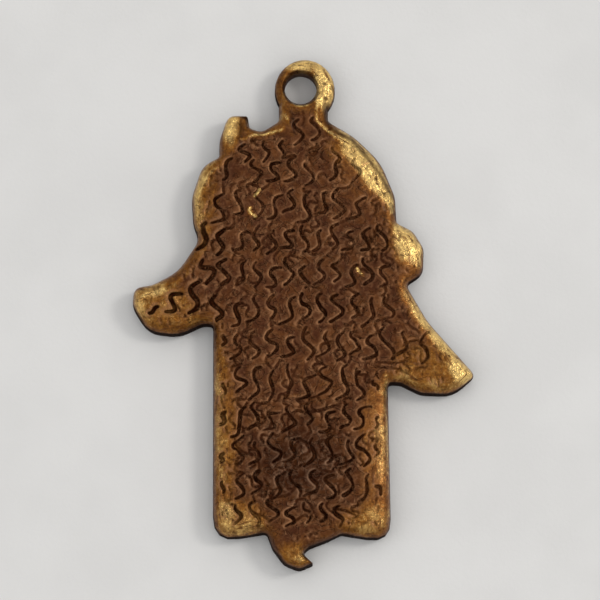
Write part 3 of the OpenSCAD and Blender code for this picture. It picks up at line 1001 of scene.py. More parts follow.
@dataclass
class CastHand:
    """The whole casting: the hand, its thumbs, knob, tab and curl, and the loop over it."""

    back_finish: AntiquedBrass
    front_finish: AntiquedBrass
    node: str = "hand_casting"
    piece: str = "cast_hand"
    slot: str = "antiqued_brass"
    engraving: Engraving = field(default_factory=Engraving)
    wear: Wear = Wear()
    widest: float = 0.43  # height of the widest level as a share of the thickness
    outline_step: float = 0.1
    border_step: float = 0.04
    back_grid: float = 0.23
    front_grid: float = 0.4
    grid_seed: int = 7
    grid_rows: float = 0.87  # distance between rows as a share of the step
    grid_jitter: float = 0.2  # share of the step
    grid_inset: float = 0.1
    back_rings: tuple[float, ...] = (0.02, 0.05, 0.09, 0.14, 0.2, 0.28, 0.38, 0.5, 0.64, 0.8)
    front_rings: tuple[float, ...] = (0.02, 0.06, 0.12, 0.2, 0.32, 0.5)
    ring_skip: int = 2  # how many of the outline's samples there are to a place on a ring
    ring_crowding: tuple[float, float] = (0.4, 0.06)  # least gap as a share of the inset, and its limit
    mark_inset: float = 0.06  # marks keep this distance from the outline
    edge_slack: float = 0.004  # a place this near to the outline lies on it
    lumps: tuple[Lumps, ...] = (Lumps(1.3, 0.026), Lumps(0.45, 0.013))
    calm: Ramp = Ramp(0.05, 0.35)  # how the relief grows inwards from the outline
    feel_circles: tuple[tuple[float, float], ...] = ((0.0, 1.0), (0.5, 0.8), (1.0, 0.5))  # size, weight
    feel_spokes: int = 6
    feel_reach: float = 0.13
    feel_share: float = 0.7  # the reach's share of the distance to the outline
    feel_least: float = 0.01
    mark_reach: float = 0.34  # in a mark the touch reaches past its sides
    mark_margin: float = 0.02
    weld: float = 2e-3
    survey: Survey = field(init=False)
    edge: Outline = field(init=False)

    def build(self, frame: dict) -> bpy.types.Object:
        """Makes the piece, dresses it and puts it on the frame.


        Returns:
            The finished piece.
        """
        self.survey = Survey(frame["nodes"][self.node], self.engraving.depth)
        loops = self.survey.outline(self.widest * self.survey.thickness)[:2]
        self.edge = Outline(loops, self.border_step, self.outline_step)
        self.engraving.cut(self.survey, self.edge)
        mesh = self._mesh()
        self._store_wear(mesh)
        groups = FinishGroups()
        for finish in (self.back_finish, self.front_finish):
            mesh.materials.append(finish.material(groups))
        mesh.transform(Matrix.Scale(MM, 4))
        piece = into_scene(self.piece, mesh)
        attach(piece, "root")
        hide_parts(self.node)
        return piece

    def _mesh(self) -> bpy.types.Mesh:
        """Lays both faces and the hole's wall.

        Returns:
            The mesh, in millimetres.
        """
        mesh = bpy.data.meshes.new(self.piece)
        build = bmesh.new()
        for face in Face:
            self._lay(build, face)
        self._line_hole(build)
        bmesh.ops.remove_doubles(build, verts=build.verts, dist=self.weld)
        bmesh.ops.recalc_face_normals(build, faces=build.faces)
        build.to_mesh(mesh)
        build.free()
        mesh.shade_smooth()
        return mesh

    def _places(self, face: Face) -> np.ndarray:
        """Chooses where the vertices of one face stand.

        Args:
            face: The face.

        Returns:
            Their places, the outline's first and then the hole's.
        """
        scatter = Scatter()
        scatter.add(self.edge.outer, 0)
        scatter.add(self.edge.hole, 0)
        rings, grid = self.front_rings, self.front_grid
        if face is Face.BACK:
            rings, grid = self.back_rings, self.back_grid
            for row, gap in self.engraving.mesh_rows():
                scatter.add(row[self.edge.depth(row) > self.mark_inset], gap)
        share, most = self.ring_crowding
        for inset in rings:
            scatter.add(self.edge.ring(inset)[::self.ring_skip], min(share * inset, most))
        scatter.add(self._grid(grid), self.grid_inset)
        return np.array(scatter.points)

    def _grid(self, step: float) -> np.ndarray:
        """Spreads staggered places, a little uneven, over the inside of the casting.

        Args:
            step: The distance between them.

        Returns:
            The places.
        """
        low, high = self.edge.low, self.edge.high
        rows = np.arange(low[1], high[1], step * self.grid_rows)
        columns = np.arange(low[0], high[0], step)
        even = np.array([(x + (k % 2) * step / 2, y) for k, y in enumerate(rows) for x in columns])
        rng = np.random.default_rng(self.grid_seed)
        grid = even + rng.uniform(-self.grid_jitter, self.grid_jitter, even.shape) * step
        return grid[self.edge.depth(grid) > self.grid_inset]

    def _lay(self, build: bmesh.types.BMesh, face: Face) -> None:
        """Lays the mesh of one face of the casting.

        Args:
            build: Where the mesh goes.
            face: The face.
        """
        places = [Vector(place) for place in self._places(face)]
        n, m = len(self.edge.outer), len(self.edge.hole)
        ends = [(i, (i + 1) % n) for i in range(n)] + [(n + i, n + (i + 1) % m) for i in range(m)]
        corners, _, cells, *_ = delaunay_2d_cdt(places, ends, [], INNER_TRIANGLES, MERGE)
        flat, cells = np.array([c[:] for c in corners]), np.array(cells)
        verts = [build.verts.new((x, y, z)) for (x, y), z in zip(flat, self._heights(flat, face))]
        in_metal = self.edge.depth(flat[cells].mean(axis=1)) > 0
        for cell in cells[in_metal]:
            made = build.faces.new([verts[i] for i in cell])
            made.material_index = 0 if face is Face.BACK else 1

    def _heights(self, flat: np.ndarray, face: Face) -> np.ndarray:
        """Works out the surface's height at each place of a face.

        Args:
            flat: The places.
            face: The face.

        Returns:
            The heights.
        """
        back = face is Face.BACK
        inside = self.edge.depth(flat)
        in_mark = self.engraving.in_mark(flat) if back else np.full(len(flat), -np.inf)
        reach = np.minimum(self.feel_reach, self.feel_share * np.maximum(inside, self.feel_least))
        reach = np.where(in_mark > -self.mark_margin, self.mark_reach, reach)
        heights = np.array([self._felt(x, y, face, r) for (x, y), r in zip(flat, reach)])
        on_outline = (inside < self.edge_slack) & ~self.edge.near_hole(flat)
        heights = np.where(on_outline, self.widest * self.survey.thickness, heights)
        calm = self.calm.at(inside)
        heights += face.value * calm * sum(lumps.at(flat) for lumps in self.lumps)
        if not back:
            return np.maximum(heights, 0)
        heights += calm * self.engraving.relief(flat, in_mark)
        heights += calm * sum(line.rise * line.nearness(flat) for line in LINES)
        return np.minimum(heights, self.survey.thickness)

    def _felt(self, x: float, y: float, face: Face, reach: float) -> float:
        """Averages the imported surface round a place, leaving out the marks.

        Args:
            x: Where, across.
            y: Where, up.
            face: The face that is felt.
            reach: How far the touch reaches.

        Returns:
            The height of the unmarked surface.
        """
        total, weight = 0.0, 0.0
        for size, share in self.feel_circles:
            for k in range(self.feel_spokes if size else 1):
                turn, out = math.tau * (k + size) / self.feel_spokes, size * reach
                z = self.survey.height(x + out * math.cos(turn), y + out * math.sin(turn), face)
                if z is not None:
                    total, weight = total + share * z, weight + share
        return total / weight if weight else self.survey.thickness * (face is Face.BACK)

    def _line_hole(self, build: bmesh.types.BMesh) -> None:
        """Joins the hole's two mouths by its wall.

        Args:
            build: Where the mesh goes.
        """
        rims = [edge for edge in build.edges if edge.is_boundary]
        around = [e for e in rims if self.edge.near_hole(np.array([v.co[:] for v in e.verts])).all()]
        bmesh.ops.bridge_loops(build, edges=around)

    def _store_wear(self, mesh: bpy.types.Mesh) -> None:
        """Stores what the materials read.

        Args:
            mesh: The piece's mesh, still in millimetres.
        """
        places = np.empty(len(mesh.vertices) * 3)
        mesh.vertices.foreach_get("co", places)
        layers = self.wear.layers(places.reshape(-1, 3), self.survey.thickness, self.edge, self.engraving)
        for name, values in layers.items():
            layer = mesh.attributes.new(name, "FLOAT", "POINT")
            layer.data.foreach_set("value", values.astype(np.float32))


class Graph:
    """A shader node tree, with short calls for the nodes that the finishes are made from."""

    def __init__(self, tree: bpy.types.NodeTree) -> None:
        """Keeps the tree that the nodes go into."""
        self.tree = tree

    def add(self, kind: str, **settings: object) -> bpy.types.Node:
        """Adds a node and sets its properties.

        Args:
            kind: The node's type, without its ShaderNode prefix.
            settings: Its properties by name.

        Returns:
            The node.
        """
        made = self.tree.nodes.new(f"ShaderNode{kind}")
        for name, value in settings.items():
            setattr(made, name, value)
        return made

    def feed(self, socket: bpy.types.NodeSocket, value: Fed) -> None:
        """Links a socket to another, or sets its own value.

        Args:
            socket: The input.
            value: A socket, a number, a vector or a colour.
        """
        if isinstance(value, bpy.types.NodeSocket):
            self.tree.links.new(value, socket)
        elif socket.type == "RGBA":
            socket.default_value = (*value, 1.0)
        else:
            socket.default_value = value

    def calc(self, operation: str, *values: Fed, clamp: bool = False) -> bpy.types.NodeSocket:
        """Adds a Math node.

        Args:
            operation: What it does, such as ADD.
            values: What feeds it.
            clamp: Whether its result stays between 0 and 1.

        Returns:
            Its result.
        """
        made = self.add("Math", operation=operation, use_clamp=clamp)
        for socket, value in zip(made.inputs, values):
            self.feed(socket, value)
        return made.outputs[0]

    def times(self, *values: Fed) -> bpy.types.NodeSocket:
        """Multiplies numbers."""
        return reduce(lambda total, value: self.calc("MULTIPLY", total, value), values)

    def most(self, *values: Fed) -> bpy.types.NodeSocket:
        """Takes the greatest of some numbers."""
        return reduce(lambda total, value: self.calc("MAXIMUM", total, value), values)

    def less(self, value: Fed, part: Fed) -> bpy.types.NodeSocket:
        """Takes one number from another."""
        return self.calc("SUBTRACT", value, part)

    def rest(self, value: Fed) -> bpy.types.NodeSocket:
        """Takes a number from one."""
        return self.less(1.0, value)

    def plus(self, base: Fed, value: Fed, share: Fed, clamp: bool = False) -> bpy.types.NodeSocket:
        """Adds a share of a number to a base, and keeps the sum between 0 and 1 if it is to clamp."""
        return self.calc("MULTIPLY_ADD", value, share, base, clamp=clamp)

    def step(self, value: Fed, low: Fed, high: Fed) -> bpy.types.NodeSocket:
        """Rises smoothly from 0 to 1.

        Args:
            value: The number that is mapped.
            low: Where the rise starts.
            high: Where it ends.

        Returns:
            The mapped number.
        """
        made = self.add("MapRange", interpolation_type="SMOOTHSTEP")
        for name, fed in (("Value", value), ("From Min", low), ("From Max", high)):
            self.feed(made.inputs[name], fed)
        return made.outputs[0]

    def _mixed(self, kind: str, sockets: Sequence[int], values: Sequence[Fed]) -> bpy.types.Node:
        """Adds a Mix node.

        Args:
            kind: What it mixes.
            sockets: The numbers of its inputs of that kind.
            values: The share, and what is mixed.

        Returns:
            The node.
        """
        made = self.add("Mix", data_type=kind)
        for index, fed in zip(sockets, values):
            self.feed(made.inputs[index], fed)
        return made

    def mix(self, share: Fed, first: Fed, second: Fed) -> bpy.types.NodeSocket:
        """Mixes two colours by the second one's share."""
        return self._mixed("RGBA", (0, 6, 7), (share, first, second)).outputs[2]

    def blend(self, share: Fed, first: Fed, second: Fed) -> bpy.types.NodeSocket:
        """Mixes two numbers by the second one's share."""
        return self._mixed("FLOAT", (0, 2, 3), (share, first, second)).outputs[0]

    def noise(self, vector: Fed, scale: Fed, detail: float = 2, rough: float = 0.5,
              bend: float = 0) -> bpy.types.NodeSocket:
        """Adds a noise texture.

        Args:
            vector: Where it is read.
            scale: How many lumps it has in a unit.
            detail: How many finer layers it has.
            rough: How strong they are.
            bend: How far it is distorted.

        Returns:
            Its value.
        """
        made = self.add("TexNoise")
        for name, fed in (("Vector", vector), ("Scale", scale), ("Detail", detail),
                          ("Roughness", rough), ("Distortion", bend)):
            self.feed(made.inputs[name], fed)
        return made.outputs[0]

    def stretch(self, vector: Fed, size: Sequence[float], turn: float = 0) -> bpy.types.NodeSocket:
        """Scales and turns the places that a texture is read at.

        Args:
            vector: The places.
            size: The scale on each axis.
            turn: The turn about Z, in degrees.

        Returns:
            The new places.
        """
        made = self.add("Mapping")
        turned = (0.0, 0.0, math.radians(turn))
        for name, fed in (("Vector", vector), ("Scale", size), ("Rotation", turned)):
            self.feed(made.inputs[name], fed)
        return made.outputs[0]

    def place(self) -> bpy.types.NodeSocket:
        """Gives the place on the object, in millimetres."""
        return self.stretch(self.add("TexCoord").outputs["Object"], (1 / MM,) * 3)

    def stored(self, name: str) -> bpy.types.NodeSocket:
        """Reads a value that the mesh stores."""
        return self.add("Attribute", attribute_name=name).outputs["Fac"]

    def bump(self, height: Fed, depth: float) -> bpy.types.NodeSocket:
        """Bends the normals by a relief.

        Args:
            height: The relief.
            depth: How high a relief of one stands, in millimetres.

        Returns:
            The normals.
        """
        made = self.add("Bump")
        made.inputs["Distance"].default_value = depth * MM
        self.feed(made.inputs["Height"], height)
        return made.outputs["Normal"]

    def group(self, tree: bpy.types.NodeTree, **values: Fed) -> dict[str, bpy.types.NodeSocket]:
        """Places a node group.

        Args:
            tree: The group.
            values: What its inputs get, by name with low lines for spaces.

        Returns:
            Its outputs by name.
        """
        made = self.add("Group", node_tree=tree)
        for name, value in values.items():
            self.feed(made.inputs[name.replace("_", " ")], value)
        return dict(made.outputs.items())


@dataclass(frozen=True)
class Socket:
    """One named input or output of an effect."""

    name: str
    kind: str = "NodeSocketFloat"
    value: float | None = None


VECTOR = "NodeSocketVector"
COLOUR = "NodeSocketColor"
PLACE = Socket("Place", VECTOR)


class Effect(Graph):
    """The node group of an effect that several materials use, with its named inputs and outputs."""

    def __init__(self, name: str, inputs: Sequence[Socket], outputs: Sequence[Socket]) -> None:
        """Starts the group.

        Args:
            name: Its name.
            inputs: Its named inputs.
            outputs: Its named outputs.
        """
        super().__init__(bpy.data.node_groups.new(name, "ShaderNodeTree"))
        for way, sockets in (("INPUT", inputs), ("OUTPUT", outputs)):
            for socket in sockets:
                made = self.tree.interface.new_socket(
                    name=socket.name, in_out=way, socket_type=socket.kind)
                if socket.value is not None:
                    made.default_value = socket.value
        self.given = self.tree.nodes.new("NodeGroupInput").outputs
        self.wanted = self.tree.nodes.new("NodeGroupOutput").inputs

    def finish(self, **values: Fed) -> bpy.types.NodeTree:
        """Feeds the group's outputs.

        Args:
            values: What each one gives.

        Returns:
            The finished group.
        """
        for name, value in values.items():
            self.feed(self.wanted[name], value)
        return self.tree


def cast_grain() -> bpy.types.NodeTree:
    """Makes the skin of a sand-fine casting: small lumps over broader ones, with a few pits.

    Returns:
        The node group.
    """
    graph = Effect(
        "cast grain", [PLACE, Socket("Grain Size", value=0.15), Socket("Pitting", value=0.5)],
        [Socket("Height"), Socket("High"), Socket("Low"), Socket("Pits")])
    shares = (0.36, 0.34, 0.11)  # of the fine lumps' scale, for broad lumps, pits and pitted fields
    fine_part, lump_height = 0.4, 1.6
    tops, hollows = (0.51, 0.62), (0.49, 0.38)
    pit, pitted = (0.2, 0.05), (0.5, 0.62)
    place = graph.given["Place"]
    scale = graph.calc("DIVIDE", 1.0, graph.given["Grain Size"])
    broad_scale, cell_scale, field_scale = (graph.times(scale, share) for share in shares)
    fine = graph.noise(place, scale, detail=4, rough=0.6, bend=0.4)
    broad = graph.noise(place, broad_scale, detail=3, rough=0.6, bend=0.7)
    both = graph.blend(fine_part, broad, fine)
    cells = graph.add("TexVoronoi", feature="SMOOTH_F1")
    graph.feed(cells.inputs["Vector"], place)
    graph.feed(cells.inputs["Scale"], cell_scale)
    pitted_field = graph.step(graph.noise(place, field_scale), *pitted)
    pits = graph.times(
        graph.step(cells.outputs["Distance"], *pit), pitted_field, graph.given["Pitting"])
    return graph.finish(
        Height=graph.less(graph.times(both, lump_height), pits), High=graph.step(both, *tops),
        Low=graph.step(both, *hollows), Pits=pits)


def rim_streaks() -> bpy.types.NodeTree:
    """Makes the fine lines that the worn rims carry along the outline.

    Returns:
        The node group.
    """
    graph = Effect(
        "rim streaks", [PLACE, Socket("Inset"), Socket("Fineness", value=4.5)],
        [Socket("Height"), Socket("Flecks")])
    along = 0.75  # lumps in a millimetre along the outline
    fleck = (0.46, 0.33)
    split = graph.add("SeparateXYZ")
    graph.feed(split.inputs[0], graph.given["Place"])
    join = graph.add("CombineXYZ")
    graph.feed(join.inputs[0], graph.times(graph.given["Inset"], graph.given["Fineness"]))
    graph.feed(join.inputs[1], graph.times(split.outputs["X"], along))
    graph.feed(join.inputs[2], graph.times(split.outputs["Y"], along))
    lines = graph.noise(join.outputs[0], 1.0, detail=4, rough=0.65, bend=0.5)
    return graph.finish(Height=lines, Flecks=graph.step(lines, *fleck))


def handling_scratches() -> bpy.types.NodeTree:
    """Makes the fine scratches that handling leaves, in two directions.

    Returns:
        The node group.
    """
    graph = Effect("handling scratches", [PLACE, Socket("Spacing", value=0.5)], [Socket("Height")])
    directions = ((14, 1.0), (-63, 0.7))  # the turn in degrees, and the strength
    slim = (9.0, 0.55, 1.0)
    width = 0.035
    patch_edge = (0.47, 0.62)
    place, spacing = graph.given["Place"], graph.given["Spacing"]
    patch_scale, line_scale = (graph.calc("DIVIDE", lumps, spacing) for lumps in (0.4, 0.6))
    patch = graph.step(graph.noise(place, patch_scale), *patch_edge)
    scratches = []
    for turn, strength in directions:
        run = graph.stretch(place, slim, turn)
        lines = graph.noise(run, line_scale, detail=3, rough=0.65, bend=0.15)
        thin = graph.step(graph.calc("ABSOLUTE", graph.less(lines, NOISE_MIDDLE)), width, 0.0)
        scratches.append(graph.times(thin, patch, strength))
    return graph.finish(Height=graph.times(graph.calc("ADD", *scratches), -1.0))


def worn_squiggles() -> bpy.types.NodeTree:
    """Makes faint wandering ridges, each with a groove beside it, as worn and half-filled marks leave.

    Returns:
        The node group.
    """
    graph = Effect(
        "worn squiggles", [PLACE, Socket("Spacing", value=0.9), Socket("Width", value=0.022)],
        [Socket("Height"), Socket("Ridge"), Socket("Groove")])
    groove_away = 1.7  # widths from a ridge to its groove
    gap_lumps, gap_edge = 1.3, (0.42, 0.54)  # what breaks the ridges up
    place, spacing, width = (graph.given[name] for name in ("Place", "Spacing", "Width"))
    lines = graph.noise(place, graph.calc("DIVIDE", 1.0, spacing), detail=1, rough=0.4, bend=0.8)
    gaps = graph.step(graph.noise(place, graph.calc("DIVIDE", gap_lumps, spacing)), *gap_edge)
    away = graph.less(lines, NOISE_MIDDLE)
    beside = graph.less(away, graph.times(width, groove_away))
    ridge, groove = (
        graph.times(graph.step(graph.calc("ABSOLUTE", gap), width, 0.0), gaps) for gap in (away, beside))
    return graph.finish(Height=graph.less(ridge, groove), Ridge=ridge, Groove=groove)


def rubbed_edge() -> bpy.types.NodeTree:
    """Makes the broken edge of the places that are rubbed bare, and where the wear is highest the polish
    with its painted highlight.

    Returns:
        The node group.
    """
    graph = Effect(
        "rubbed edge",
        [PLACE, Socket("Wear"), Socket("Breakup", value=0.5), Socket("Softness", value=0.3)],
        [Socket("Bare"), Socket("Sheen")])
    bare_from = 0.42  # wear at which half of the patina is gone
    bright_after = (0.5, 0.55)  # how much more wear it takes until the polish and its painted highlight start and are full
    broad_scale, fine_scale, fine_part = 1.1, 6.0, 0.45
    broad = graph.noise(graph.given["Place"], broad_scale, detail=3, rough=0.6, bend=0.3)
    fine = graph.noise(graph.given["Place"], fine_scale, detail=3, rough=0.65)
    shift = graph.less(graph.blend(fine_part, broad, fine), NOISE_MIDDLE)
    worn = graph.plus(graph.given["Wear"], shift, graph.given["Breakup"])
    half = graph.times(graph.given["Softness"], 0.5)
    edge = (graph.less(bare_from, half), graph.calc("ADD", bare_from, half))
    bright = (graph.calc("ADD", wear, more) for wear, more in zip(edge, bright_after))
    return graph.finish(Bare=graph.step(worn, *edge), Sheen=graph.step(worn, *bright))


def antique_patina() -> bpy.types.NodeTree:
    """Makes the casting's colour, from dark oxide in the low places to bare metal on the rims, and to a
    painted highlight where the metal is polished.

    Returns:
        The node group.
    """
    masks = [Socket(name) for name in ("Bare", "Sheen", "Dark", "Warmth")]
    colours = [Socket(name, COLOUR) for name in (
        "Oxide", "Mottle", "Umber", "Metal", "Warm Metal", "Bright Metal")]
    graph = Effect("antique patina", [PLACE, *masks, *colours], [Socket("Color", COLOUR)])
    mottle_scale, mottle_edge = 0.9, (0.35, 0.7)
    streak_scale, streak_edge, streak_strength = 1.4, (0.3, 0.75), 0.45
    slim, lean = (3.0, 1.0, 1.0), 8  # of the streaks, the lean in degrees
    given = graph.given
    patches = graph.noise(given["Place"], mottle_scale, detail=4, rough=0.6, bend=0.5)
    skin = graph.mix(graph.step(patches, *mottle_edge), given["Oxide"], given["Mottle"])
    metal = graph.mix(given["Warmth"], given["Metal"], given["Warm Metal"])
    # the painted highlight where the metal is polished
    metal = graph.mix(given["Sheen"], metal, given["Bright Metal"])
    long_place = graph.stretch(given["Place"], slim, lean)
    streak = graph.step(graph.noise(long_place, streak_scale, detail=3, rough=0.6), *streak_edge)
    metal = graph.mix(graph.times(streak, streak_strength), metal, given["Mottle"])
    colour = graph.mix(given["Bare"], skin, metal)
    return graph.finish(Color=graph.mix(given["Dark"], colour, given["Umber"]))


@dataclass
class FinishGroups:
    """The effects that the brass finishes share, each built once."""

    grain: bpy.types.NodeTree = field(default_factory=cast_grain)
    streaks: bpy.types.NodeTree = field(default_factory=rim_streaks)
    scratches: bpy.types.NodeTree = field(default_factory=handling_scratches)
    squiggles: bpy.types.NodeTree = field(default_factory=worn_squiggles)
    rubbing: bpy.types.NodeTree = field(default_factory=rubbed_edge)
    patina: bpy.types.NodeTree = field(default_factory=antique_patina)


def new_material(name: str) -> tuple[bpy.types.Material, bpy.types.Node]:
    """Starts a material.

    Args:
        name: Its name.

    Returns:
        The material and its shader.
    """
    made = bpy.data.materials.new(name)
    made.use_nodes = True
    return made, made.node_tree.nodes["Principled BSDF"]


@dataclass(frozen=True)
class AntiquedBrass:
    """Brass that was blackened and then rubbed back, as it looks on one face of the casting.

    A pair of numbers gives a share on the untouched skin and on bare metal, or on the sides that face the
    light and on those with painted shade.
    """

    name: str
    oxide: Colour = (0.071, 0.0207, 0.0067)
    mottle: Colour = (0.131, 0.0435, 0.0105)
    umber: Colour = (0.027, 0.0068, 0.0021)
    # near black of the walls: dark patina with painted shade
    soot: Colour = (0.016, 0.0075, 0.005)
    metal: Colour = (0.285, 0.112, 0.017)
    warm_metal: Colour = (0.34, 0.127, 0.033)
    # the polished metal's colour, brightened into a painted highlight
    polished_and_painted_highlight_metal: Colour = (1.0, 0.68, 0.24)
    # the burrs' lighter colour, which also paints light on the side of each mark where the light falls
    lip: Colour = (0.33, 0.155, 0.068)
    dull_lip: Colour = (0.22, 0.135, 0.09)
    breakup: float = 0.9
    softness: float = 0.75
    broad_spacing: float = 1.05
    close_spacing: float = 0.6
    close_width: float = 0.03
    fleck_loss: float = 0.7  # how much of the bare metal the rims' flecks hide
    painted_glint: tuple[float, float] = (0.22, 0.45)  # painted glints on the grain's tops, on dull metal and on bright
    recess_dark: float = 0.95
    # the walls' dark patina and painted shade, on the sides that face the light and on those away from it
    wall_patina_and_shade: tuple[float, float] = (0.75, 0.99)
    # how dark the soot makes the patina, partly as painted shade
    soot_and_shade_dark: float = 0.85
    pit_dark: float = 0.8
    groove_dark: tuple[float, float] = (0.5, 0.25)
    hollow_dark: tuple[float, float] = (0.3, 0.6)
    ridge_light: float = 0.35
    grain_light: float = 0.2
    # how much the burrs lighten the colour, partly as painted light
    burr_and_painted_light: float = 0.95
    soot_dulling: float = 0.3
    # how much of the walls turns near black, patina with painted shade, on the sides that face the light
    # and on those away from it
    wall_soot_and_shade: tuple[float, float] = (0.5, 1.0)
    soot_and_shade_cover: float = 0.9
    skin_rough: float = 0.5
    metal_rough: float = 0.27
    rough_change: float = 0.2
    rough_patches: float = 2.3  # in a millimetre
    soot_rough: float = 0.4
    polish: float = 0.12  # how much smoother the brightest metal is
    skin_metal: float = 0.7
    specular: float = 0.25
    grain_depth: float = 0.8
    scratch_depth: float = 0.12
    squiggle_depth: float = 0.45
    streak_depth: float = 0.5
    relief: float = 0.07  # height of the fine relief, in millimetres

    def material(self, groups: FinishGroups) -> bpy.types.Material:
        """Builds the material.

        Args:
            groups: The effects that it shares.

        Returns:
            The material.
        """
        made, shader = new_material(self.name)
        graph = BrassGraph(made.node_tree, self, groups)
        graph.feed(shader.inputs["Base Color"], graph.colour())
        graph.feed(shader.inputs["Metallic"], graph.metallic())
        graph.feed(shader.inputs["Roughness"], graph.roughness())
        graph.feed(shader.inputs["Normal"], graph.bump(graph.relief(), self.relief))
        shader.inputs["Specular IOR Level"].default_value = self.specular
        return made


class BrassGraph(Graph):
    """The nodes of one brass finish."""

    def __init__(self, tree: bpy.types.NodeTree, finish: AntiquedBrass, groups: FinishGroups) -> None:
        """Places the shared effects and works out where the metal is bare, where it is polished with
        painted highlights and glints, and where it is dark.

        Args:
            tree: The material's nodes.
            finish: The finish.
            groups: The effects that it shares.
        """
        super().__init__(tree)
        self.finish, self.groups = finish, groups
        self.where = self.place()
        self.recess, self.wall, self.low_side, self.soot = (
            self.stored(name) for name in ("recess", "wall", "low_side", "soot"))
        self.rubbing = self.group(
            groups.rubbing, Place=self.where, Wear=self.stored("wear"), Breakup=finish.breakup,
            Softness=finish.softness)
        self.grain = self.group(groups.grain, Place=self.where)
        self.streaks = self.group(groups.streaks, Place=self.where, Inset=self.stored("inset"))
        self.scratches = self.group(groups.scratches, Place=self.where)
        self.broad = self.group(groups.squiggles, Place=self.where, Spacing=finish.broad_spacing)
        self.close = self.group(
            groups.squiggles, Place=self.where, Spacing=finish.close_spacing, Width=finish.close_width)
        flecks = self.plus(1.0, self.streaks["Flecks"], -finish.fleck_loss)
        self.bare = self.times(self.rubbing["Bare"], flecks)
        self.skin = self.rest(self.bare)
        # polish, which also paints a highlight on the brightest metal
        polish_and_painted_sheen = self.times(self.rubbing["Sheen"], flecks)
        # painted glints: the grain's tops are lightened as if they caught the light
        painted_glint = self.times(self.grain["High"], self.bare, self.blend(polish_and_painted_sheen, *finish.painted_glint))
        self.polish_and_painted_sheen = self.calc("ADD", polish_and_painted_sheen, painted_glint, clamp=True)
        self.dark = self._darkness()
        self.clean = self.times(self.bare, self.rest(self.dark))
        # the walls' near black: dark patina with painted shade, most on the sides away from the light
        self.sooted_and_shaded_walls = self.times(self.wall, self.blend(self.low_side, *finish.wall_soot_and_shade))

    def _darkness(self) -> bpy.types.NodeSocket:
        """Works out how dark the patina is in the marks, in the soot and in the pits, and on the walls,
        where the dark is patina with painted shade, most on the sides away from the light.

        Returns:
            The share of the darkest colour.
        """
        finish = self.finish
        dark = self.most(
            self.times(self.recess, finish.recess_dark),
            self.times(self.wall, self.blend(self.low_side, *finish.wall_patina_and_shade)),
            self.times(self.soot, finish.soot_and_shade_dark), self.times(self.grain["Pits"], finish.pit_dark))
        groove = self.most(self.broad["Groove"], self.close["Groove"])
        faint = self.times(groove, self.blend(self.bare, *finish.groove_dark))
        faint = self.plus(faint, self.grain["Low"], self.blend(self.bare, *finish.hollow_dark))
        return self.plus(dark, faint, self.rest(dark), clamp=True)

    def colour(self) -> bpy.types.NodeSocket:
        """Lays the patina, the lighter ridges and burrs, which also paint light on the side of each mark
        that faces the light, and the near black on the walls, which is dark patina with painted shade.

        Returns:
            The colour.
        """
        finish = self.finish
        patina = self.group(
            self.groups.patina, Place=self.where, Bare=self.bare, Sheen=self.polish_and_painted_sheen, Dark=self.dark,
            Warmth=self.stored("warmth"), Oxide=finish.oxide, Mottle=finish.mottle, Umber=finish.umber,
            Metal=finish.metal, Warm_Metal=finish.warm_metal, Bright_Metal=finish.polished_and_painted_highlight_metal)
        ridge = self.most(self.broad["Ridge"], self.close["Ridge"])
        high = self.plus(self.times(ridge, finish.ridge_light), self.grain["High"], finish.grain_light)
        high = self.plus(self.times(high, self.skin), self.stored("lip"), finish.burr_and_painted_light)
        high = self.times(high, self.rest(self.times(self.soot, finish.soot_dulling)))
        high = self.calc("MULTIPLY", high, self.rest(self.wall), clamp=True)
        colour = self.mix(high, patina["Color"], self.mix(self.soot, finish.lip, finish.dull_lip))
        return self.mix(self.times(self.sooted_and_shaded_walls, finish.soot_and_shade_cover), colour, finish.soot)

    def metallic(self) -> bpy.types.NodeSocket:
        """Makes the skin a little less metallic than the clean and the dark places."""
        return self.blend(self.most(self.clean, self.dark), self.finish.skin_metal, 1.0)

    def roughness(self) -> bpy.types.NodeSocket:
        """Makes bare metal smoother than the skin, and soot rougher, with some change all over.

        Returns:
            The roughness.
        """
        finish = self.finish
        rough = self.blend(self.clean, finish.skin_rough, finish.metal_rough)
        patches = self.noise(self.where, finish.rough_patches, detail=3)
        rough = self.plus(self.less(rough, finish.rough_change / 2), patches, finish.rough_change)
        rough = self.plus(rough, self.polish_and_painted_sheen, -finish.polish)
        return self.plus(rough, self.sooted_and_shaded_walls, finish.soot_rough, clamp=True)

    def relief(self) -> bpy.types.NodeSocket:
        """Adds up the fine relief of the grain, the scratches, the worn squiggles and the streaks.

        Returns:
            The height.
        """
        finish = self.finish
        squiggles = self.times(self.calc("ADD", self.broad["Height"], self.close["Height"]), self.skin)
        streaks = self.times(self.streaks["Height"], self.rubbing["Bare"])
        height = self.times(self.grain["Height"], finish.grain_depth)
        height = self.plus(height, self.scratches["Height"], finish.scratch_depth)
        height = self.plus(height, squiggles, finish.squiggle_depth)
        return self.plus(height, streaks, finish.streak_depth)


